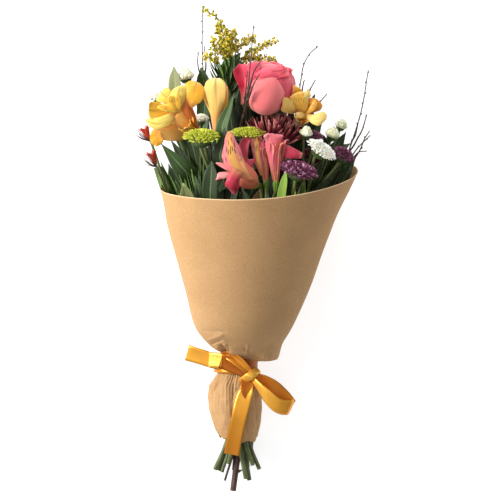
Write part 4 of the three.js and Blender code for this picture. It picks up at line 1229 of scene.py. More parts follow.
# ---------------------------------------------------------------- alstroemerias
# Lily-like funnels on three stems. Such a flower has broad outer petals, narrower inner ones with
# dark flecks, six stamens, and a green ribbed ovary at its foot. Here each has a tube of petals, and
# the petals that have spread from it are laid out one by one.
def flecked_finish(name, edge, heart, fleck, foot, amount=1.0):
    """The inner petals: heart colour down the middle, dashed with dark flecks, edge colour outside."""
    finish = Finish(name, 0.5)
    where, across, along_it = finish.map()
    drawn_out = finish.stretched(where, (13, 5.5, 1))
    cells = finish.node("TexVoronoi", "Distance", {"Vector": drawn_out, "Scale": 1.0})
    held = finish.sum("MULTIPLY", finish.span(along_it, 0.34, 0.46), finish.span(along_it, 0.97, 0.86))
    dashes = finish.sum("MULTIPLY", finish.sum("MULTIPLY", finish.span(cells, 0.40, 0.28), held), amount)
    veil = finish.noise(where, 7.0, 3.0)
    soft = finish.sum("MULTIPLY_ADD", veil, 0.5, finish.span(finish.from_middle(across), 0.04, 0.32))
    soft = finish.sum("SUBTRACT", soft, 0.25, use_clamp=True)
    footed = finish.mix(finish.span(along_it, 0.28, 0.04), finish.mix(soft, heart, edge), foot)
    finish.surface({
        "Base Color": finish.mix(dashes, footed, fleck), "Sheen Weight": 0.1,
        "Subsurface Weight": 0.35, "Subsurface Radius": (0.004, 0.0026, 0.0014),
    })
    finish.relief(veil, 0.25, 0.0006)
    return finish


def funnel(length, mouth, flare, curl):
    """A petal's spine: along the tube, out to the mouth, then curling back by curl."""
    return [(1.6, 0), (2.4, 0.2 * length), (2.6 + 0.22 * mouth, 0.45 * length),
            (2.0 + 0.52 * mouth, 0.68 * length), (0.86 * mouth, 0.86 * length),
            (mouth + flare, 0.97 * length), (mouth + 1.6 * flare + curl * 0.5, 0.99 * length - curl)]


OUTER = [3.2, 4.6, (0.42, 0.86, 1.05, 0.9, 0.36)]  # widths: of the claw in mm, then shares of the blade
INNER = [2.6, 3.2, (0.4, 0.72, 0.98, 0.74, 0.06)]
OVARY = [(1.9, -8), (2.2, -6), (2.7, -2.5), (2.5, 0.6), (1.6, 2.8), (0.05, 3.0)]


def tube_petals(skin, rest, petals, length, kind):
    """The petals of the tube, each with its turn, width, reach at the mouth, flare, curl, length as a
    share of the tube's, and tone."""
    outside = kind is OUTER
    for i, (turn, width, mouth, flare, curl, share, tone) in enumerate(petals):
        spine = [(reach * (1 if outside else 0.9), height) for reach, height in
                 funnel(length * share, mouth, flare, curl)]
        petal(skin, rest, turn, spine, [kind[0], kind[1], *(width * part for part in kind[2])],
              bend=0.045 if outside else 0.09, bow=0.10 if outside else 0.04,
              ruffle=(1.6, 1.6, 1.9 * i) if outside else (1.1, 1.3, 1.3 * i),
              twist=(0.12 if outside else 0.2) * (-1) ** i, tone=tone)


def stamen(skin, rest, angle, reach, length):
    """A thread that leans out of the mouth, with a plump anther at its end."""
    side = Vector((math.cos(angle), math.sin(angle), 0))
    path = [
        rest @ (side * out + Vector((0, 0, up * length)))
        for out, up in [(1.0, 0), (2.0, 0.4), (reach, 0.74), (reach + 2.2, 0.84)]
    ]
    ahead = (path[-1] - path[-2]).normalized()
    stalk(skin, path, [0.35, 0.35, 0.3], step=5.0, sides=5, tone=0.9)
    anther = [path[-1], path[-1] + ahead * 1.5, path[-1] + ahead * 3.4]
    stalk(skin, anther, [0.4, 0.95, 0.3], step=0.9, sides=5, tone=0.1)


def alstroemeria(name, seat, length, outer, inner, skins, laid, stamens=6, facing=None):
    """One flower. outer and inner are the petals of its tube. laid are its spread petals, laid out
    edge by edge: the skin that each one shows (its outer, inner or back one), tone and rows."""
    rest = bloom_frame(seat, facing=facing)
    parts = {"back": Skin(), "outer": Skin(), "inner": Skin()}
    tube_petals(parts["outer"], rest, outer, length, OUTER)
    tube_petals(parts["inner"], rest, inner, length, INNER)
    for part, tone, edges in laid:
        shaped(parts[part], edges, tone, ruffle=0.4 if part == "inner" else 0.7)
    mouth = sum(spec[2] for spec in inner) / len(inner)
    for i in range(stamens):
        stamen(parts["inner"], rest, math.radians(60 * i + 15), 0.30 * mouth, length)
    slot = name.split("_")[0] + "_petal"
    node_name = name.replace("golden_alstroemeria_open", "golden_alstroemeria") + "_bloom"
    titles = {"outer": "_outer_petals", "inner": "_inner_petals", "back": "_petal_backs"}
    for part, skin in parts.items():
        if skin.points:
            piece = skin.made(name + titles[part], skins[part], thickness=0.0004, smooth=1)
            in_place(piece, slot, *([node_name] if part == "outer" else []))
    green = Skin()
    revolved(green, rest, OVARY, 36, 0.62, ribs=0.12)
    leafy(green, name + "_ovary", thickness=0)


yellow = {
    "outer": petal_finish("yellow_petal", "DE8E26", "F8BC34", "F9DE74", "E8985A", "F8DA84", 0.14,
                          rib="8A6A2E"),
    "inner": flecked_finish("yellow_petal_inner", "F6D04C", "EEA828", "8A4A1E", "E6B45E", 0.9),
    "back": petal_finish("yellow_petal_back", "C4501C", "EC9840", "F8CC70", "E08A4A", "F6BE58", 0.2),
}
# The side flower has just opened, and its outer petals are still peach coloured.
peach = petal_finish("peach_petal", "D0843A", "F2BC50", "F6D27C", "E0905A", "F6DCA0", 0.16, rib="7A562E")
golden = {
    "outer": petal_finish("golden_petal", "D88626", "F8BC46", "FCE490", "DA9E48", "FAD484", 0.22),
    "inner": flecked_finish("golden_petal_inner", "F8C458", "F6B63C", "8A5418", "E0A448", 0.5),
}
pink = {
    "outer": petal_finish("pink_petal", "BC2C44", "DE6874", "F2A8A2", "BC7E56", "EC949A", 0.2),
    "inner": flecked_finish("pink_petal_inner", "E87E84", "ECB650", "541418", "D88A60"),
    "back": petal_finish("pink_petal_back", "C8604A", "E88468", "F2A488", "A8A258", "EE8C80", 0.25),
}
# The open yellow flower. Three of its petals show their backs.
laid = [
    ("back", 0.66, [(-59, 116, 86, -57, 119, 86, 0.5), (-68, 117, 92, -62, 125, 93, 2),
                    (-75, 120, 97, -67, 131, 98, 3), (-81, 123, 101, -72, 136, 102, 2),
                    (-81, 129, 103, -75, 137, 103, 1)]),
    ("back", 0.22, [(-60, 118, 86, -56, 121, 84, 0.5), (-65, 122, 92, -58, 126, 89, 2),
                    (-69, 130, 98, -59, 132, 94, 3), (-73, 136, 102, -62, 139, 98, 3),
                    (-72, 145, 105, -63, 143, 101, 2), (-69, 152, 106, -66, 147, 104, 1)]),
    ("outer", 0.34, [(-70, 146, 103, -63, 139, 101, 1), (-70, 152, 106, -58, 142, 105, 2),
                     (-70, 158, 108, -52, 146, 108, 3), (-69, 162, 109, -50, 154, 109, 2),
                     (-66, 164, 108, -51, 159, 107, 1.5), (-62, 166, 106, -55, 163, 104, 0.5)]),
    ("outer", 0.95, [(-78, 135, 99, -73, 135, 99, 0.5), (-78, 142, 104, -71, 142, 104, 1.5),
                     (-82, 148, 108, -69, 149, 107, 2), (-83, 152, 110, -68, 155, 109, 2),
                     (-81, 156, 111, -68, 159, 110, 1.5), (-76, 159, 110, -71, 161, 109, 0.5)]),
    ("outer", 0.8, [(-78, 137, 99, -77, 140, 100, 0.5), (-84, 140, 101, -79, 148, 102, 1.5),
                    (-91, 144, 103, -82, 154, 103, 2), (-97, 146, 104, -85, 159, 103, 1.5),
                    (-96, 150, 103, -88, 160, 102, 0.5)]),
    ("outer", 0.54, [(-78, 134, 98, -78, 138, 98, 0), (-85, 132, 102, -84, 141, 102, -1),
                     (-91, 129, 106, -91, 143, 106, -1.5), (-98, 127, 109, -98, 145, 109, -1.5),
                     (-103, 129, 111, -103, 144, 111, -1), (-105, 134, 111, -104, 140, 111, -0.5)]),
    ("inner", 0.5, [(-78, 135, 104, -75, 135, 104, 0.5), (-82, 136, 107, -76, 141, 107, 1),
                    (-86, 142, 110, -76, 147, 110, 1), (-86, 148, 112, -80, 150, 112, 0.5),
                    (-84, 150, 112, -82, 150, 112, 0)]),
    ("inner", 0.5, [(-78, 134, 104, -76, 136, 104, 0.5), (-80, 135, 107, -78, 140, 107, 1),
                    (-88, 135, 109, -84, 142, 109, 1), (-94, 138, 110, -91, 142, 110, 0.5),
                    (-96, 139, 110, -95, 141, 110, 0)]),
    ("inner", 0.5, [(-77, 136, 103, -73, 136, 103, 0.5), (-78, 140, 107, -73, 140, 107, 1),
                    (-80, 146, 110, -73, 146, 110, 1), (-78, 151, 111, -74, 151, 111, 0.5),
                    (-77, 153, 111, -76, 153, 111, 0)]),
    ("outer", 0.92, [(-78, 132, 99, -77, 136, 99, 0.5), (-82, 124, 104, -82, 135, 104, 1.5),
                     (-88, 121, 108, -88, 132, 108, 1.5), (-95, 117, 110, -96, 129, 110, 1),
                     (-102, 120, 111, -102, 129, 110, 0.5), (-107, 125, 110, -107, 128, 110, 0)]),
    ("back", 0.8, [(-63, 115, 84, -61, 121, 84, 0.5), (-73, 109, 89, -74, 121, 90, 1.5),
                   (-83, 108, 94, -82, 126, 95, 2), (-91, 109, 98, -91, 124, 99, 1.5),
                   (-94, 114, 101, -95, 120, 101, 0.5)]),
    ("outer", 0.3, [(-91, 114, 98, -98, 122, 99, 0.5), (-91, 107, 97, -103, 116, 98, 1),
                    (-96, 103, 95, -104, 109, 96, 0.5), (-99, 103, 94, -102, 105, 94, 0)]),
]
alstroemeria(
    "yellow_alstroemeria_open", "yellow_open", 24,
    [(46, 13, 7, 1, 0, 1.0, 0.15), (164, 13, 7, 1, 0, 0.98, 0.85), (262, 13, 7, 1, 0, 0.98, 0.35)],
    [(104, 8, 6, 1, 0, 1.0, 0.6), (212, 8, 6, 1, 0, 1.0, 0.6), (325, 8, 6, 1, 0, 0.95, 0.6)],
    yellow, laid,
)
# Its side flower, still half closed, seen from the side.
laid = [
    ("outer", 0.86, [(-42, 117, 95, -36, 117, 95, 1.5), (-44, 129, 99, -34, 129, 99, 2),
                     (-45, 138, 103, -33, 138, 103, 2), (-47, 146, 106, -30, 146, 106, 2),
                     (-50, 154, 108, -29, 154, 108, 1.5), (-50, 160, 109, -29, 160, 109, 1.5),
                     (-48, 165, 108, -31, 165, 108, 0.5), (-43, 168, 106, -35, 168, 106, 0)]),
    ("outer", 0.7, [(-42, 126, 94, -38, 126, 94, 0.5), (-46, 137, 98, -42, 135, 98, 1.5),
                    (-51, 148, 101, -45, 145, 101, 1.5), (-52, 156, 102, -47, 153, 102, 0.5),
                    (-51, 161, 102, -50, 159, 102, 0)]),
    ("outer", 0.5, [(-38, 126, 94, -35, 126, 94, 0.5), (-34, 138, 98, -29, 140, 97, 1.5),
                    (-32, 151, 100, -27, 151, 99, 1.5), (-32, 161, 101, -28, 161, 100, 0.5)]),
]
alstroemeria(
    "yellow_alstroemeria_side", "yellow_side", 48,
    [(30, 13, 7, 1.5, 2, 0.94, 0.5), (150, 13, 7, 1.5, 2, 0.92, 0.42)],
    [(90, 10, 6, 1, 1, 0.96, 0.6), (205, 9, 6, 1, 1, 0.9, 0.6), (330, 9, 6, 1, 1, 0.9, 0.6)],
    yellow | {"outer": peach}, laid,
)
# The golden flower, which faces up and away from the rose.
laid = [
    ("outer", 0.7, [(37, 135, 96, 40, 138, 96, 0.5), (30, 134, 104, 38, 140, 102, 1.5),
                    (24, 136, 110, 37, 144, 106, 2), (25, 141, 114, 34, 146, 109, 1.5),
                    (26, 146, 116, 32, 147, 112, 1), (27, 148, 116, 30, 148, 113, 0.5)]),
    ("outer", 0.35, [(33, 146, 98, 40, 148, 97, 0.5), (31, 150, 101, 38, 152, 100, 1.5),
                     (31, 154, 104, 43, 155, 102, 2), (34, 159, 105, 45, 157, 102, 1.5),
                     (37, 162, 103, 41, 159, 101, 0.5)]),
    ("inner", 0.62, [(40, 135, 94, 48, 135, 94, 0.5), (36, 139, 100, 50, 139, 98, 2),
                     (33, 143, 105, 51, 145, 102, 3), (32, 148, 108, 51, 150, 104, 2),
                     (35, 152, 108, 50, 154, 104, 1.5), (41, 155, 105, 47, 155, 102, 0.5)]),
    ("outer", 0.9, [(46, 143, 103, 52, 144, 100, 0.5), (46, 149, 106, 52, 149, 102, 1),
                    (48, 154, 106, 53, 153, 102, 1), (50, 158, 104, 52, 157, 101, 0)]),
    ("outer", 0.12, [(49, 136, 93, 52, 135, 93, 0.5), (50, 142, 97, 58, 136, 97, 1.5),
                     (50, 147, 100, 63, 138, 99, 2), (54, 150, 100, 65, 143, 98, 1.5),
                     (58, 148, 98, 63, 145, 97, 0.5)]),
    ("inner", 0.5, [(49, 135, 97, 51, 134, 97, 0.5), (52, 140, 101, 56, 137, 101, 1),
                    (55, 145, 103, 59, 141, 103, 1), (57, 147, 103, 59, 145, 103, 0)]),
    ("outer", 0.88, [(47, 132, 94, 48, 136, 94, 0.5), (51, 128, 99, 53, 134, 98, 1.5),
                     (55, 124, 102, 59, 134, 101, 2), (61, 122, 103, 64, 136, 101, 2),
                     (66, 126, 102, 69, 134, 100, 1), (68, 129, 101, 69, 132, 100, 0)]),
    ("outer", 0.8, [(47, 130, 96, 48, 134, 97, 0.5), (43, 130, 100, 44, 136, 101, 1),
                    (39, 130, 102, 39, 135, 103, 0.5)]),
]
alstroemeria(
    "golden_alstroemeria_open", "golden", 25,
    [(206, 12, 6, 1, 0, 0.95, 0.7), (118, 12, 6, 1, 0, 1.0, 0.4), (322, 12, 6, 1, 0, 1.0, 0.6)],
    [(80, 8, 5, 1, 0, 1.0, 0.5), (160, 8, 5, 1, 0, 1.0, 0.6), (15, 8, 5, 1, 0, 1.0, 0.3)],
    golden, laid, facing=(0.23, 0.33, 0.92),
)
# The open pink flower: the outside of its throat, and eight petals that have sprung apart.
laid = [
    ("back", 0.45, [(1, 61, 110, 3, 66, 110, 0.5), (-6, 60, 114, 1, 73, 114, 2.5),
                    (-12, 60, 118, -3, 79, 118, 3.5), (-16, 63, 121, -8, 84, 120, 3),
                    (-18, 70, 122, -12, 85, 121, 1)]),
    ("outer", 0.35, [(-19, 77, 118, -10, 75, 118, 0.5), (-25, 82, 120, -16, 83, 120, 2),
                     (-31, 87, 122, -20, 89, 121, 2.5), (-32, 92, 122, -22, 97, 122, 2),
                     (-28, 99, 121, -24, 100, 121, 0)]),
    ("outer", 0.15, [(-10, 79, 116, -6, 79, 116, 0.5), (-14, 87, 120, -8, 88, 119, -1),
                     (-16, 95, 123, -8, 94, 122, -2), (-16, 102, 124, -7, 103, 122, -2),
                     (-13, 108, 123, -5, 108, 121, -1), (-10, 111, 121, -8, 111, 120, 0)]),
    ("inner", 0.5, [(-8, 67, 121, -1, 68, 120, 1), (-22, 74, 125, -9, 82, 125, 2),
                    (-30, 81, 128, -13, 90, 128, 2.5), (-33, 90, 130, -15, 98, 130, 2.5),
                    (-31, 99, 132, -19, 104, 131, 2), (-30, 107, 133, -22, 111, 131, 0.5),
                    (-27, 114, 132, -25, 114, 131, 0)]),
    ("inner", 0.5, [(-7, 71, 122, -4, 72, 122, 0.5), (-15, 80, 127, -10, 84, 127, 1),
                    (-18, 88, 130, -14, 91, 129, 0.5), (-19, 94, 131, -17, 96, 131, 0)]),
    ("outer", 0.75, [(-19, 73, 121, -17, 78, 121, 0.5), (-26, 76, 123, -24, 82, 123, 1),
                     (-33, 80, 124, -29, 84, 124, 0.5), (-39, 84, 124, -38, 85, 124, 0)]),
    ("outer", 0.85, [(-21, 70, 122, -18, 75, 122, 0.5), (-28, 70, 124, -27, 76, 124, 1),
                     (-34, 69, 124, -36, 75, 124, 1), (-39, 68, 123, -38, 70, 123, 0)]),
    ("outer", 0.05, [(-21, 80, 128, -13, 75, 127, 0.5), (-25, 75, 130, -15, 71, 129, 2),
                     (-28, 69, 130, -16, 66, 129, 2.5), (-30, 63, 128, -16, 62, 127, 2.5),
                     (-26, 59, 125, -17, 59, 124, 1), (-23, 55, 122, -20, 54, 121, 0)]),
    ("outer", 0.2, [(-8, 76, 117, -2, 73, 116, 0.5), (-9, 82, 119, -3, 82, 118, 1),
                    (-9, 86, 120, -1, 87, 118, 1), (-8, 88, 120, -1, 89, 118, 0)]),
]
alstroemeria(
    "pink_alstroemeria_open", "pink_open", 5,
    [(66, 5, 2.2, 0.2, 0, 1.0, 0.55), (190, 5, 2.2, 0.2, 0, 0.98, 0.5), (300, 5, 2.2, 0.2, 0, 1.0, 0.2)],
    [(114, 4, 2, 0.2, 0, 1.0, 0.6), (240, 4, 2, 0.2, 0, 1.0, 0.6), (0, 4, 2, 0.2, 0, 1.0, 0.6)],
    pink, laid, stamens=0,
)
# The two pink flowers beside it, seen from the side.
laid = [
    ("outer", 0.45, [(7, 72, 107, 9, 72, 107, 0.5), (4, 87, 112, 9, 87, 111, 2),
                     (4, 97, 115, 10, 97, 113, 2), (4, 104, 116, 11, 103, 114, 1),
                     (6, 108, 115, 10, 109, 113, 0)]),
    ("inner", 0.5, [(4, 74, 108, 8, 72, 108, 0.5), (-1, 84, 113, 7, 84, 112, 2),
                    (-3, 92, 116, 5, 92, 115, 2), (-5, 102, 118, 5, 102, 116, 2),
                    (-6, 109, 118, 6, 108, 116, 1), (-4, 112, 117, 4, 112, 115, 0)]),
]
alstroemeria(
    "pink_alstroemeria_middle", "pink_middle", 38,
    [(20, 10, 5, 1.0, 1, 1.0, 0.5), (130, 10, 5, 1.0, 1, 1.0, 0.45)],
    [(70, 8, 4.5, 1, 1, 1.0, 0.6), (190, 8, 4.5, 1, 1, 0.96, 0.6), (305, 8, 4.5, 1, 1, 0.96, 0.6)],
    pink, laid,
)
laid = [
    ("outer", 0.55, [(16, 67, 110, 22, 68, 109, 1), (14, 77, 115, 23, 79, 113, 2.5),
                     (12, 88, 119, 22, 88, 117, 3), (9, 99, 122, 23, 100, 120, 3),
                     (9, 107, 124, 25, 108, 121, 2.5), (10, 112, 124, 26, 110, 121, 1),
                     (12, 113, 122, 24, 112, 120, 0)]),
    ("outer", 0.75, [(11, 102, 123, 13, 101, 123, 0), (8, 107, 125, 12, 108, 125, 0.5),
                     (7, 110, 126, 12, 112, 126, 0.5), (9, 112, 126, 12, 113, 126, 0)]),
    ("outer", 0.08, [(22, 90, 116, 23, 104, 118, 0.5), (29, 89, 119, 30, 102, 120, 2),
                     (38, 89, 120, 36, 99, 120, 2), (43, 89, 119, 45, 94, 119, 0)]),
    ("outer", 0.35, [(22, 84, 113, 23, 84, 113, 0), (22, 90, 115, 28, 90, 114, 1),
                     (23, 97, 117, 26, 99, 116, 0.5)]),
]
alstroemeria(
    "pink_alstroemeria_right", "pink_right", 44,
    [(150, 12, 7, 1.5, 1.5, 0.98, 0.5), (25, 12, 7, 2, 2, 0.98, 0.55)],
    [(80, 9, 6, 1, 1, 0.96, 0.6), (200, 9, 6, 1, 1, 0.94, 0.6), (330, 9, 6, 1, 1, 0.94, 0.6)],
    pink, laid,
)


# ---------------------------------------------------------------- wine chrysanthemums
# Two spoon chrysanthemums, wine red inside with paler backs. Their many narrow petals are rolled
# along their length and rise like a brush from a green cup of small leaves.
DOME = [(0.12, -1.35), (0.3, -1.05), (0.6, -0.62), (0.78, -0.2), (0.5, 0.1), (0.02, 0.3)]  # radius, height


def cup(name, rest, radius, deep, tone=0.35):
    """The green cup under a chrysanthemum: overlapping rings of small pointed scales on a dome."""
    green = Skin()
    for ring, (share, high) in enumerate([(0.34, -0.2), (0.58, 0.0), (0.80, 0.25)]):
        count = 11 + 5 * ring
        reach = share * radius
        spine = [(0.8, -deep * 1.1), (reach * 0.75, -deep * 0.95), (reach, -deep * (0.55 - high)),
                 (reach * 1.08, -deep * (0.2 - high))]
        for i in range(count):
            petal(green, rest, 360 * (i + 0.5 * ring) / count, spine,
                  [1.6, 0.30 * radius, 0.26 * radius, 0.3], bend=0.12, tone=tone, steps=(4, 3))
    revolved(green, rest, [(r, height * deep) for r, height in DOME], 20, tone, size=radius)
    leafy(green, name + "_cup", thickness=0.0003)


# The six whorls of a bloom: how wide and how high each one spreads, and how many petals it has.
WHORLS = [(0.14, 1.0, 9), (0.34, 1.0, 14), (0.55, 0.98, 19), (0.78, 0.92, 24), (0.98, 0.78, 27),
          (1.08, 0.5, 26)]
wine = petal_finish("wine_petal", "4C0A14", "822030", "E49A8E", "4A0A16", "C46E6C", veins=0.25, sheen=0.05)
for seat, name, radius, height, shift, fullness, seed in [
    ("wine_middle", "wine_chrysanthemum", 28, 29, (-6, -10, 18), 1, 3),
    ("wine_right", "wine_chrysanthemum_right", 14, 20, (3, 0, 3), 0.62, 4),
]:
    random.seed(seed)
    rest = bloom_frame(seat, shift)
    slim = 1 if fullness == 1 else 0.85
    skin = Skin()
    for whorl, (spread, rise, count) in enumerate(WHORLS):
        base = 1.0 + 0.9 * whorl
        for i in range(int(count * fullness)):
            reach = radius * spread * random.uniform(0.9, 1.06)
            top = height * rise * random.uniform(0.88, 1.08)
            width = random.uniform(3.2, 4.4) * slim
            turn = 360 * i / (count * fullness) + 13 * whorl + random.uniform(-5, 5)
            spine = [(base, 1.0), (base + 0.42 * (reach - base), 0.30 * top),
                     (base + 0.80 * (reach - base), 0.66 * top), (reach, top)]
            petal(skin, rest, turn, spine, [1.2, 0.7 * width, width, 1.15 * width, 0.5 * width],
                  bend=0.50, bow=0.06, twist=random.uniform(-0.4, 0.4),
                  tone=random.choice([0.05, 0.15, 0.3, 0.45, 0.95]) + 0.04 * (whorl - 2),
                  steps=(8, 6), lean=random.uniform(-2, 2))
    in_place(skin.made(name + "_petals", wine, thickness=0.00025), "wine_petal", name + "_bloom")
    cup(name, rest, radius * 0.42, 5)


# ---------------------------------------------------------------- button chrysanthemums
# Small domed heads packed with short curled petals, ring on ring, with a fringe round the rim. Two
# are lime green, three plum with pale tips, three white, and four more are buds.
GOLDEN_TURN = 137.508  # degrees from one petal of a head to the next, as seeds lie in a sunflower
RIM = 1.28  # how far round the dome, in radians, its lowest petals sit
PETAL_WIDTH = 2.3  # mm


def button(name, seat, radius, height, finish, seed, tones, shift):
    random.seed(seed)
    rest = bloom_frame(seat, shift)
    skin = Skin()
    total = int(210 * (radius / 18) ** 1.25)
    for i in range(total):
        share = math.sqrt((i + 0.5) / total)
        lie = share * RIM
        reach = radius * 0.80 * math.sin(lie) / math.sin(RIM)
        high = height * (0.34 + 0.42 * math.cos(lie * 1.15))
        outward, upward = math.sin(lie * 0.95), math.cos(lie * 0.95)
        long = (0.13 + 0.14 * share) * radius * random.uniform(0.8, 1.15)
        droop = 0.95
        if share > 0.93:
            long, upward, droop = 0.30 * radius * random.uniform(0.8, 1.1), 0.1, 0.3
        spine = [(reach * 0.82, high - 0.22 * height), (reach, high),
                 (reach + outward * long * 0.6, high + upward * long * 0.9),
                 (reach + outward * long * 0.95, high + upward * long * droop)]
        petal(skin, rest, i * GOLDEN_TURN + random.uniform(-6, 6), spine,
              [0.9, PETAL_WIDTH * 0.8, PETAL_WIDTH, PETAL_WIDTH * 0.45], bend=0.62, bow=0.10,
              tone=random.choice(tones) + 0.10 * share, steps=(4, 4), twist=random.uniform(-0.3, 0.3))
    in_place(skin.made(name + "_petals", finish, thickness=0.0002), finish.name, name + "_bloom")
    cup(name, rest, radius * 0.62, height * 0.38)


lime = petal_finish("lime_petal", "7C9208", "BCC816", "E8E664", "6E8406", "DCDE40", veins=0.10)
plum = petal_finish("plum_petal", "400A2A", "7C1E50", "E2AACA", "280618", "9A4478", veins=0.15)
white = petal_finish("white_petal", "FFFCE0", "FFFFF0", "FFFFF6", "F6F4C8", "FFFFF6", veins=0.02, sheen=0.2)
cream = petal_finish("bud_petal", "A0AC70", "E2E4B4", "FDFCE6", "7C8C4A", "FCFBE2", veins=0.1)
for name, seat, radius, height, finish, seed, tones, shift in [
    ("green_button_left", "green_left", 18, 11, lime, 11, [0.3, 0.5, 0.6, 0.8], (0, 0, 0)),
    ("green_button_right", "green_right", 17.5, 11, lime, 12, [0.3, 0.5, 0.6, 0.8], (0, 0, 0)),
    ("plum_button_front", "plum_front", 18.5, 11, plum, 13, [0.1, 0.25, 0.4, 0.5, 0.95], (0, 0, 0)),
    ("plum_button_back", "plum_back", 12, 9, plum, 14, [0.1, 0.25, 0.4, 0.6], (-3, 0, 6)),
    ("plum_button_right", "plum_right", 11.5, 10, plum, 15, [0.1, 0.25, 0.4, 0.6], (0, 0, 2)),
    ("white_button_right", "white_right", 16, 10, white, 16, [0.4, 0.7, 0.95], (0, 0, 1.5)),
    ("white_button_left", "white_left", 8.2, 8, white, 17, [0.3, 0.7, 0.95], (0, 0, 0)),
    ("white_button_top", "white_top", 11, 9, white, 18, [0.4, 0.7, 0.95], (-4, 2, 4)),
]:
    button(name, seat, radius, height, finish, seed, tones, shift)


def closed_bud(name, seat, radius, seed, shift=(0, 0, 1)):
    """A bud just opening: cream petals still folded over each other above a green cup."""
    random.seed(seed)
    rest = bloom_frame(seat, shift)
    skin = Skin()
    rings = [(0.55, 1.45, 6), (0.8, 1.3, 9), (1.0, 1.05, 12), (1.12, 0.75, 13)]
    for ring, (wide, high, count) in enumerate(rings):
        for i in range(count):
            reach = radius * wide * random.uniform(0.92, 1.06)
            top = radius * high * random.uniform(0.9, 1.08)
            spine = [(0.2 * reach, -0.5 * radius), (0.85 * reach, -0.1 * radius), (reach, 0.45 * top),
                     (0.55 * reach, top)]
            petal(skin, rest, 360 * i / count + 17 * ring, spine,
                  [0.8, 0.42 * radius, 0.52 * radius, 0.3 * radius], bend=0.9 / radius, bow=0.12,
                  tone=random.choice([0.35, 0.6, 0.8, 1.0]), steps=(6, 4))
    in_place(skin.made(name + "_petals", cream, thickness=0.0003), "white_petal")
    cup(name, rest @ Matrix.Translation((0, 0, -0.1 * radius)), radius * 0.95, radius * 0.62)


closed_bud("white_bud_low", "bud_low", 5.6, 21)
closed_bud("white_bud_middle", "bud_middle", 6.4, 22)
closed_bud("white_bud_high", "bud_high", 5.6, 23)
closed_bud("white_bud_left", "bud_left", 7.4, 24, (-1, 2, 5))


# ---------------------------------------------------------------- goldenrod
# A loose, arching plume. Its shoots carry short sprigs, each crowded with tiny yellow-green
# flower heads, and narrow leaves grow where the shoots leave the stem.
shoots = [
    ([(-31, 141, 66), (-30, 170, 69), (-29.5, 193, 72), (-31, 207, 74)], 14, 30, 0.72),
    ([(-29, 190, 72), (-32, 213, 75), (-36.5, 225, 76)], 10, 30, 0.05),
    ([(-35, 219, 76), (-38, 231, 76), (-44, 236, 76), (-53.5, 241, 75)], 3.6, 13, 0.05),
    ([(-29, 180, 70), (-24.5, 201, 73), (-23.6, 219, 74)], 8.5, 22, 0.40),
    ([(-30, 172, 69), (-41, 190, 71), (-50.5, 196, 71)], 6, 12, 0.50),
    ([(-30, 176, 70), (-40, 194, 76), (-41.5, 211, 77)], 7, 16, 0.40),
    ([(-28, 170, 68), (-19, 202, 68), (-8, 211.5, 68), (-2, 213, 67)], 7.5, 24, 0.55),
    ([(-27, 166, 68), (-12, 195, 66), (-0.5, 202, 66), (19, 211.5, 64)], 5.5, 28, 0.50),
    ([(-27, 162, 66), (-16, 191, 62), (3, 193, 60), (19, 193, 58)], 5.5, 28, 0.50),
    ([(-28, 164, 67), (-8, 196, 65), (2, 198, 64)], 5, 10, 0.60),
    ([(-28, 160, 66), (-18, 184, 64), (-10, 194, 64)], 5.5, 12, 0.55),
]


def floret(skin, at, facing, size, tone):
    """One flower head: a ring of five short rays."""
    up = facing.normalized()
    side = up.orthogonal().normalized()
    rest = Matrix((side, up.cross(side), up)).transposed().to_4x4()
    rest.translation = at
    spine = [(0.1 * size, 0), (0.42 * size, 0.35 * size), (0.50 * size, 0.9 * size),
             (0.9 * size, 1.15 * size)]
    for i in range(5):
        petal(skin, rest, 72 * i + 30 * tone, spine, [0.25 * size, 0.8 * size, 0.75 * size, 0.15 * size],
              bend=0.5 / size, tone=tone, steps=(3, 2))


random.seed(31)
plume, stalks, shoot_leaves = Skin(), Skin(), Skin()
main_stem = smooth_line([(-33, 105, 61), *shoots[0][0]], 60)
# Each shoot: its path, how wide its plume is, how many sprigs it has, and the share of it that is bare.
for path, width, count, bare in shoots:
    stalk(stalks, path, [0.8, 0.6, 0.3], step=4, sides=6, tone=0.5)
    fine = smooth_line(path, 90)
    for i in range(count):
        part = (i + 0.5) / count
        near = int((bare + (1 - bare) * part) * 89)
        at = fine[min(88, near)]
        ahead = (fine[min(89, near + 1)] - at).normalized()
        side = ahead.orthogonal().normalized()
        side.rotate(Matrix.Rotation(i * 2.4, 3, ahead))
        swell = math.sin(math.pi * min(1.0, 0.16 + 0.84 * (1 - part))) ** 0.6
        reach = width * 0.62 * swell * random.uniform(0.7, 1.15)
        elbow = at + side * reach * 0.55 + ahead * reach * 0.35
        end = at + side * reach + ahead * reach * 0.75
        stalk(stalks, [at, elbow, end], [0.35, 0.3, 0.2], step=2.5, sides=5, tone=0.5)
        beads = max(4, int(reach * 1.85))
        for k in range(beads):
            s = 0.25 + 0.75 * (k + random.random()) / beads
            place = at.lerp(elbow, s * 2) if s < 0.5 else elbow.lerp(end, s * 2 - 1)
            jitter = Vector((random.uniform(-1, 1), random.uniform(-1, 1), random.uniform(-0.4, 1)))
            facing = ahead * 0.7 + side * 0.5 + jitter
            place = place + facing.normalized() * random.uniform(0.2, 1.1)
            size = random.uniform(1.1, 1.9)
            floret(plume, place, facing, size, random.choice([0.0, 0.2, 0.5, 0.75, 1.0]) - 0.2 * (1 - part))
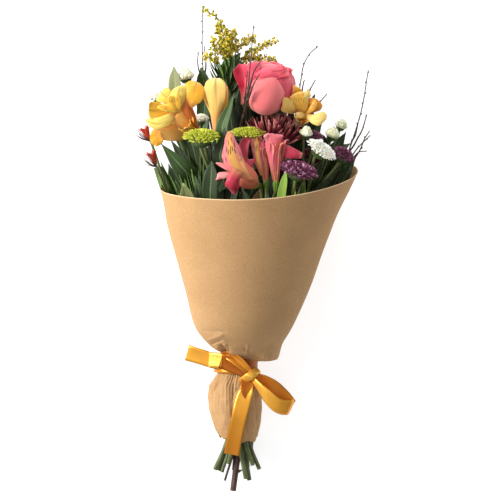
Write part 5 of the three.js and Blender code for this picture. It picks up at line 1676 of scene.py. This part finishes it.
# Its leaves: where each one leaves the stem, the way it points in degrees, and its length.
for i, (y, turn, size) in enumerate([
    (112, 20, 30), (120, 160, 30), (128, 60, 28), (134, 120, 30), (140, 200, 32), (146, 10, 32),
    (150, 90, 34), (154, 150, 32), (154, 30, 32), (157, 175, 30), (160, 70, 30), (162, 110, 30),
    (165, 140, 28), (167, 40, 28), (170, 95, 24), (172, 165, 22), (163, 12, 30), (168, 60, 30),
    (172, 30, 28), (174, 80, 26), (176, 5, 24), (160, 150, 32), (166, 172, 30),
]):
    foot = along(main_stem, y)
    turn = math.radians(turn)
    outward = Vector((math.cos(turn) * 0.75, 1.0, 0.5 * math.sin(turn)))
    tip = foot + outward * size * 0.8 + Vector((0, 2, -2))
    blade(shoot_leaves, foot, foot + outward * size * 0.42, tip, 6.5 + 2.5 * (i % 3),
          (outward.z + 0.2, -0.3, -outward.x + 0.9), 0.3, 0.18 + 0.10 * (i % 4))
finish = petal_finish("goldenrod_yellow", "949420", "F2DA3A", "FFF484", "B8B234", "FFEE56", 0.1, 0.7)
in_place(plume.made("goldenrod_flower_heads", finish), "goldenrod", "goldenrod_plume")
in_place(stalks.made("goldenrod_shoots", green_skin), "green_stem")
leafy(shoot_leaves, "goldenrod_shoot_leaves", thickness=0.0003)


# ---------------------------------------------------------------- scarlet flowers
# Two small orange-red funnels on the forked stem at the left, each with six pointed petals and a
# spray of dark, wiry bracts below it.
scarlet = petal_finish("scarlet_petal", "8E1E10", "D2422A", "F0805A", "A03018", "E8583A", veins=0.15)
for name, length, turns in [("scarlet_low", 15, (150, 200, 240)), ("scarlet_high", 14, (120, 170, 215))]:
    rest = bloom_frame(name)
    skin, wires = Skin(), Skin()
    for i in range(6):
        spine = [(0.8, 0), (1.8, 0.35 * length), (3.6, 0.68 * length), (7.4 - 1.2 * (i % 2), length)]
        petal(skin, rest, 60 * i + 12, spine, [1.6, 3.6, 5.4, 5.0, 0.5], bend=0.16, bow=0.05,
              tone=0.35 + 0.15 * (i % 3), ruffle=(0.5, 1, i), steps=(10, 6))
    for i, turn in enumerate(turns):
        for k in range(3):
            angle = math.radians(turn + 16 * k)
            away = Vector((math.cos(angle), math.sin(angle), 0))
            path = [
                rest @ (away * reach + Vector((0, 0, height)))
                for reach, height in [(0.6, -2), (6 + k, 3 + 2 * i), (9 + 2 * k, 9 + 3 * i)]
            ]
            stalk(wires, path, [0.45, 0.35, 0.15], step=2, sides=5, tone=0.2)
    in_place(skin.made(name + "_petals", scarlet, thickness=0.0003), "scarlet_petal", name + "_bloom")
    in_place(wires.made(name + "_bracts", woody_skin), "woody_stem")


# ---------------------------------------------------------------- twigs
# Four bare twigs of a dark shrub, cut in winter. They are knobbly, with a small bud at each kink,
# and fork into fine side shoots.
twigs = {  # for each one: its points above the tie, and those of its side shoots
    "twig_right": (
        [(48, 1, 44), (82, 71, 56), (93, 99, 60), (106, 141, 62), (113, 182, 62)],
        [
            [(82, 71, 56), (96, 95, 62), (104, 106, 64), (114.6, 116, 66)],
            [(93, 99, 60), (103, 114, 64), (107, 124, 66), (111, 137, 68)],
            [(81, 69, 56), (100, 97, 66), (111, 100, 70)],
            [(88, 84, 58), (99, 92, 66), (108, 110, 70), (113.5, 120, 72)],
            [(96, 110, 61), (101, 119, 60), (103, 129, 58)],
            [(86, 80, 57), (92, 96, 66), (96, 112, 70)],
        ],
    ),
    "twig_top": (
        [(14, 1, 26), (36, 111, 40), (45, 169, 50), (48, 187, 53), (54, 199, 55), (63, 207, 56)],
        [
            [(40, 141, 45), (52, 159, 52), (60, 173, 56)],
            [(38, 123, 42), (62, 147, 52), (72, 159, 56)],
            [(43, 155, 48), (47, 163, 52), (49, 173, 56)],
            [(41, 146, 46), (50, 152, 52), (55, 163, 56)],
        ],
    ),
    "twig_front": (
        [(-24, 1, 62), (-20, 91, 80), (-18, 113, 87), (-14, 127, 98), (-9.5, 143, 122),
         (-5.5, 181, 132), (-2.5, 215, 132)],
        [
            [(-9, 147, 124), (-6.5, 157, 131), (-3, 169, 135), (3.5, 179, 136)],
            [(-16, 118, 92), (-12, 134, 110), (-10, 152, 122), (-8.5, 172, 128)],
            [(-9.8, 142, 121), (-3.5, 156, 134), (3, 168, 136)],
        ],
    ),
    "twig_left": (
        [(-38, 1, 26), (-46, 101, 38), (-50, 151, 46), (-54, 193, 56), (-54, 244, 60)],
        [
            [(-51, 161, 48), (-58, 185, 54), (-58, 201, 58)],
            [(-52, 178, 52), (-50, 190, 58), (-52, 206, 62)],
        ],
    ),
}
random.seed(41)


KINK = 7  # mm between the kinks of a side shoot
BUDDED = 110  # mm of a twig, from its tip, that carries buds
STEP = 2.6  # mm from one ring of a twig to the next


def knobbly(skin, path, radii, tone):
    """A shoot with slight kinks, and a pointed bud on alternate sides at each of them."""
    length = sum((Vector(b) - Vector(a)).length for a, b in zip(path, path[1:]))
    if length < 100:
        smooth = smooth_line(path, max(4, int(length / KINK)))
        kinked = [
            p + Vector((random.uniform(-0.7, 0.7), 0, random.uniform(-0.7, 0.7))) for p in smooth[1:-1]
        ]
        path = [smooth[0], *kinked, smooth[-1]]
    line = stalk(skin, path, radii, step=STEP, sides=8, tone=tone, cut=True, ridge=0.06)
    for i in range(max(2, len(line) - int(BUDDED / STEP)), len(line) - 1, 4):
        a, b = rings(line)[i]
        outward = (a * math.cos(i * 2.4) + b * math.sin(i * 2.4)).normalized()
        ahead = (line[min(i + 1, len(line) - 1)] - line[i - 1]).normalized()
        size = spline(radii, i / (len(line) - 1)) * 1.1 + 0.2
        foot = line[i] + outward * size * 0.3
        tip = foot + outward * size * 1.5 + ahead * size * 2.2
        bud = [foot, foot.lerp(tip, 0.5) + outward * size * 0.3, tip]
        stalk(skin, bud, [size * 0.7, size * 0.8, 0.08], step=0.8, sides=6, tone=tone + 0.15)


for name, (via, side_shoots) in twigs.items():
    skin = Skin()
    front = name == "twig_front"  # the front one is slimmer at its foot
    main = [1.2, 1.5, 1.8, 1.1, 0.45] if front else [2.3, 2.2, 1.6, 0.8, 0.5]
    side = [1.2, 0.9, 0.45] if front else [0.95, 0.72, 0.48]
    knobbly(skin, below_the_tie(name) + via, main, 0.1)
    for path in side_shoots:
        knobbly(skin, path, side, 0.08)
    in_place(skin.made(name + "_grown", woody_skin), "woody_stem", name)



(low, high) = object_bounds()
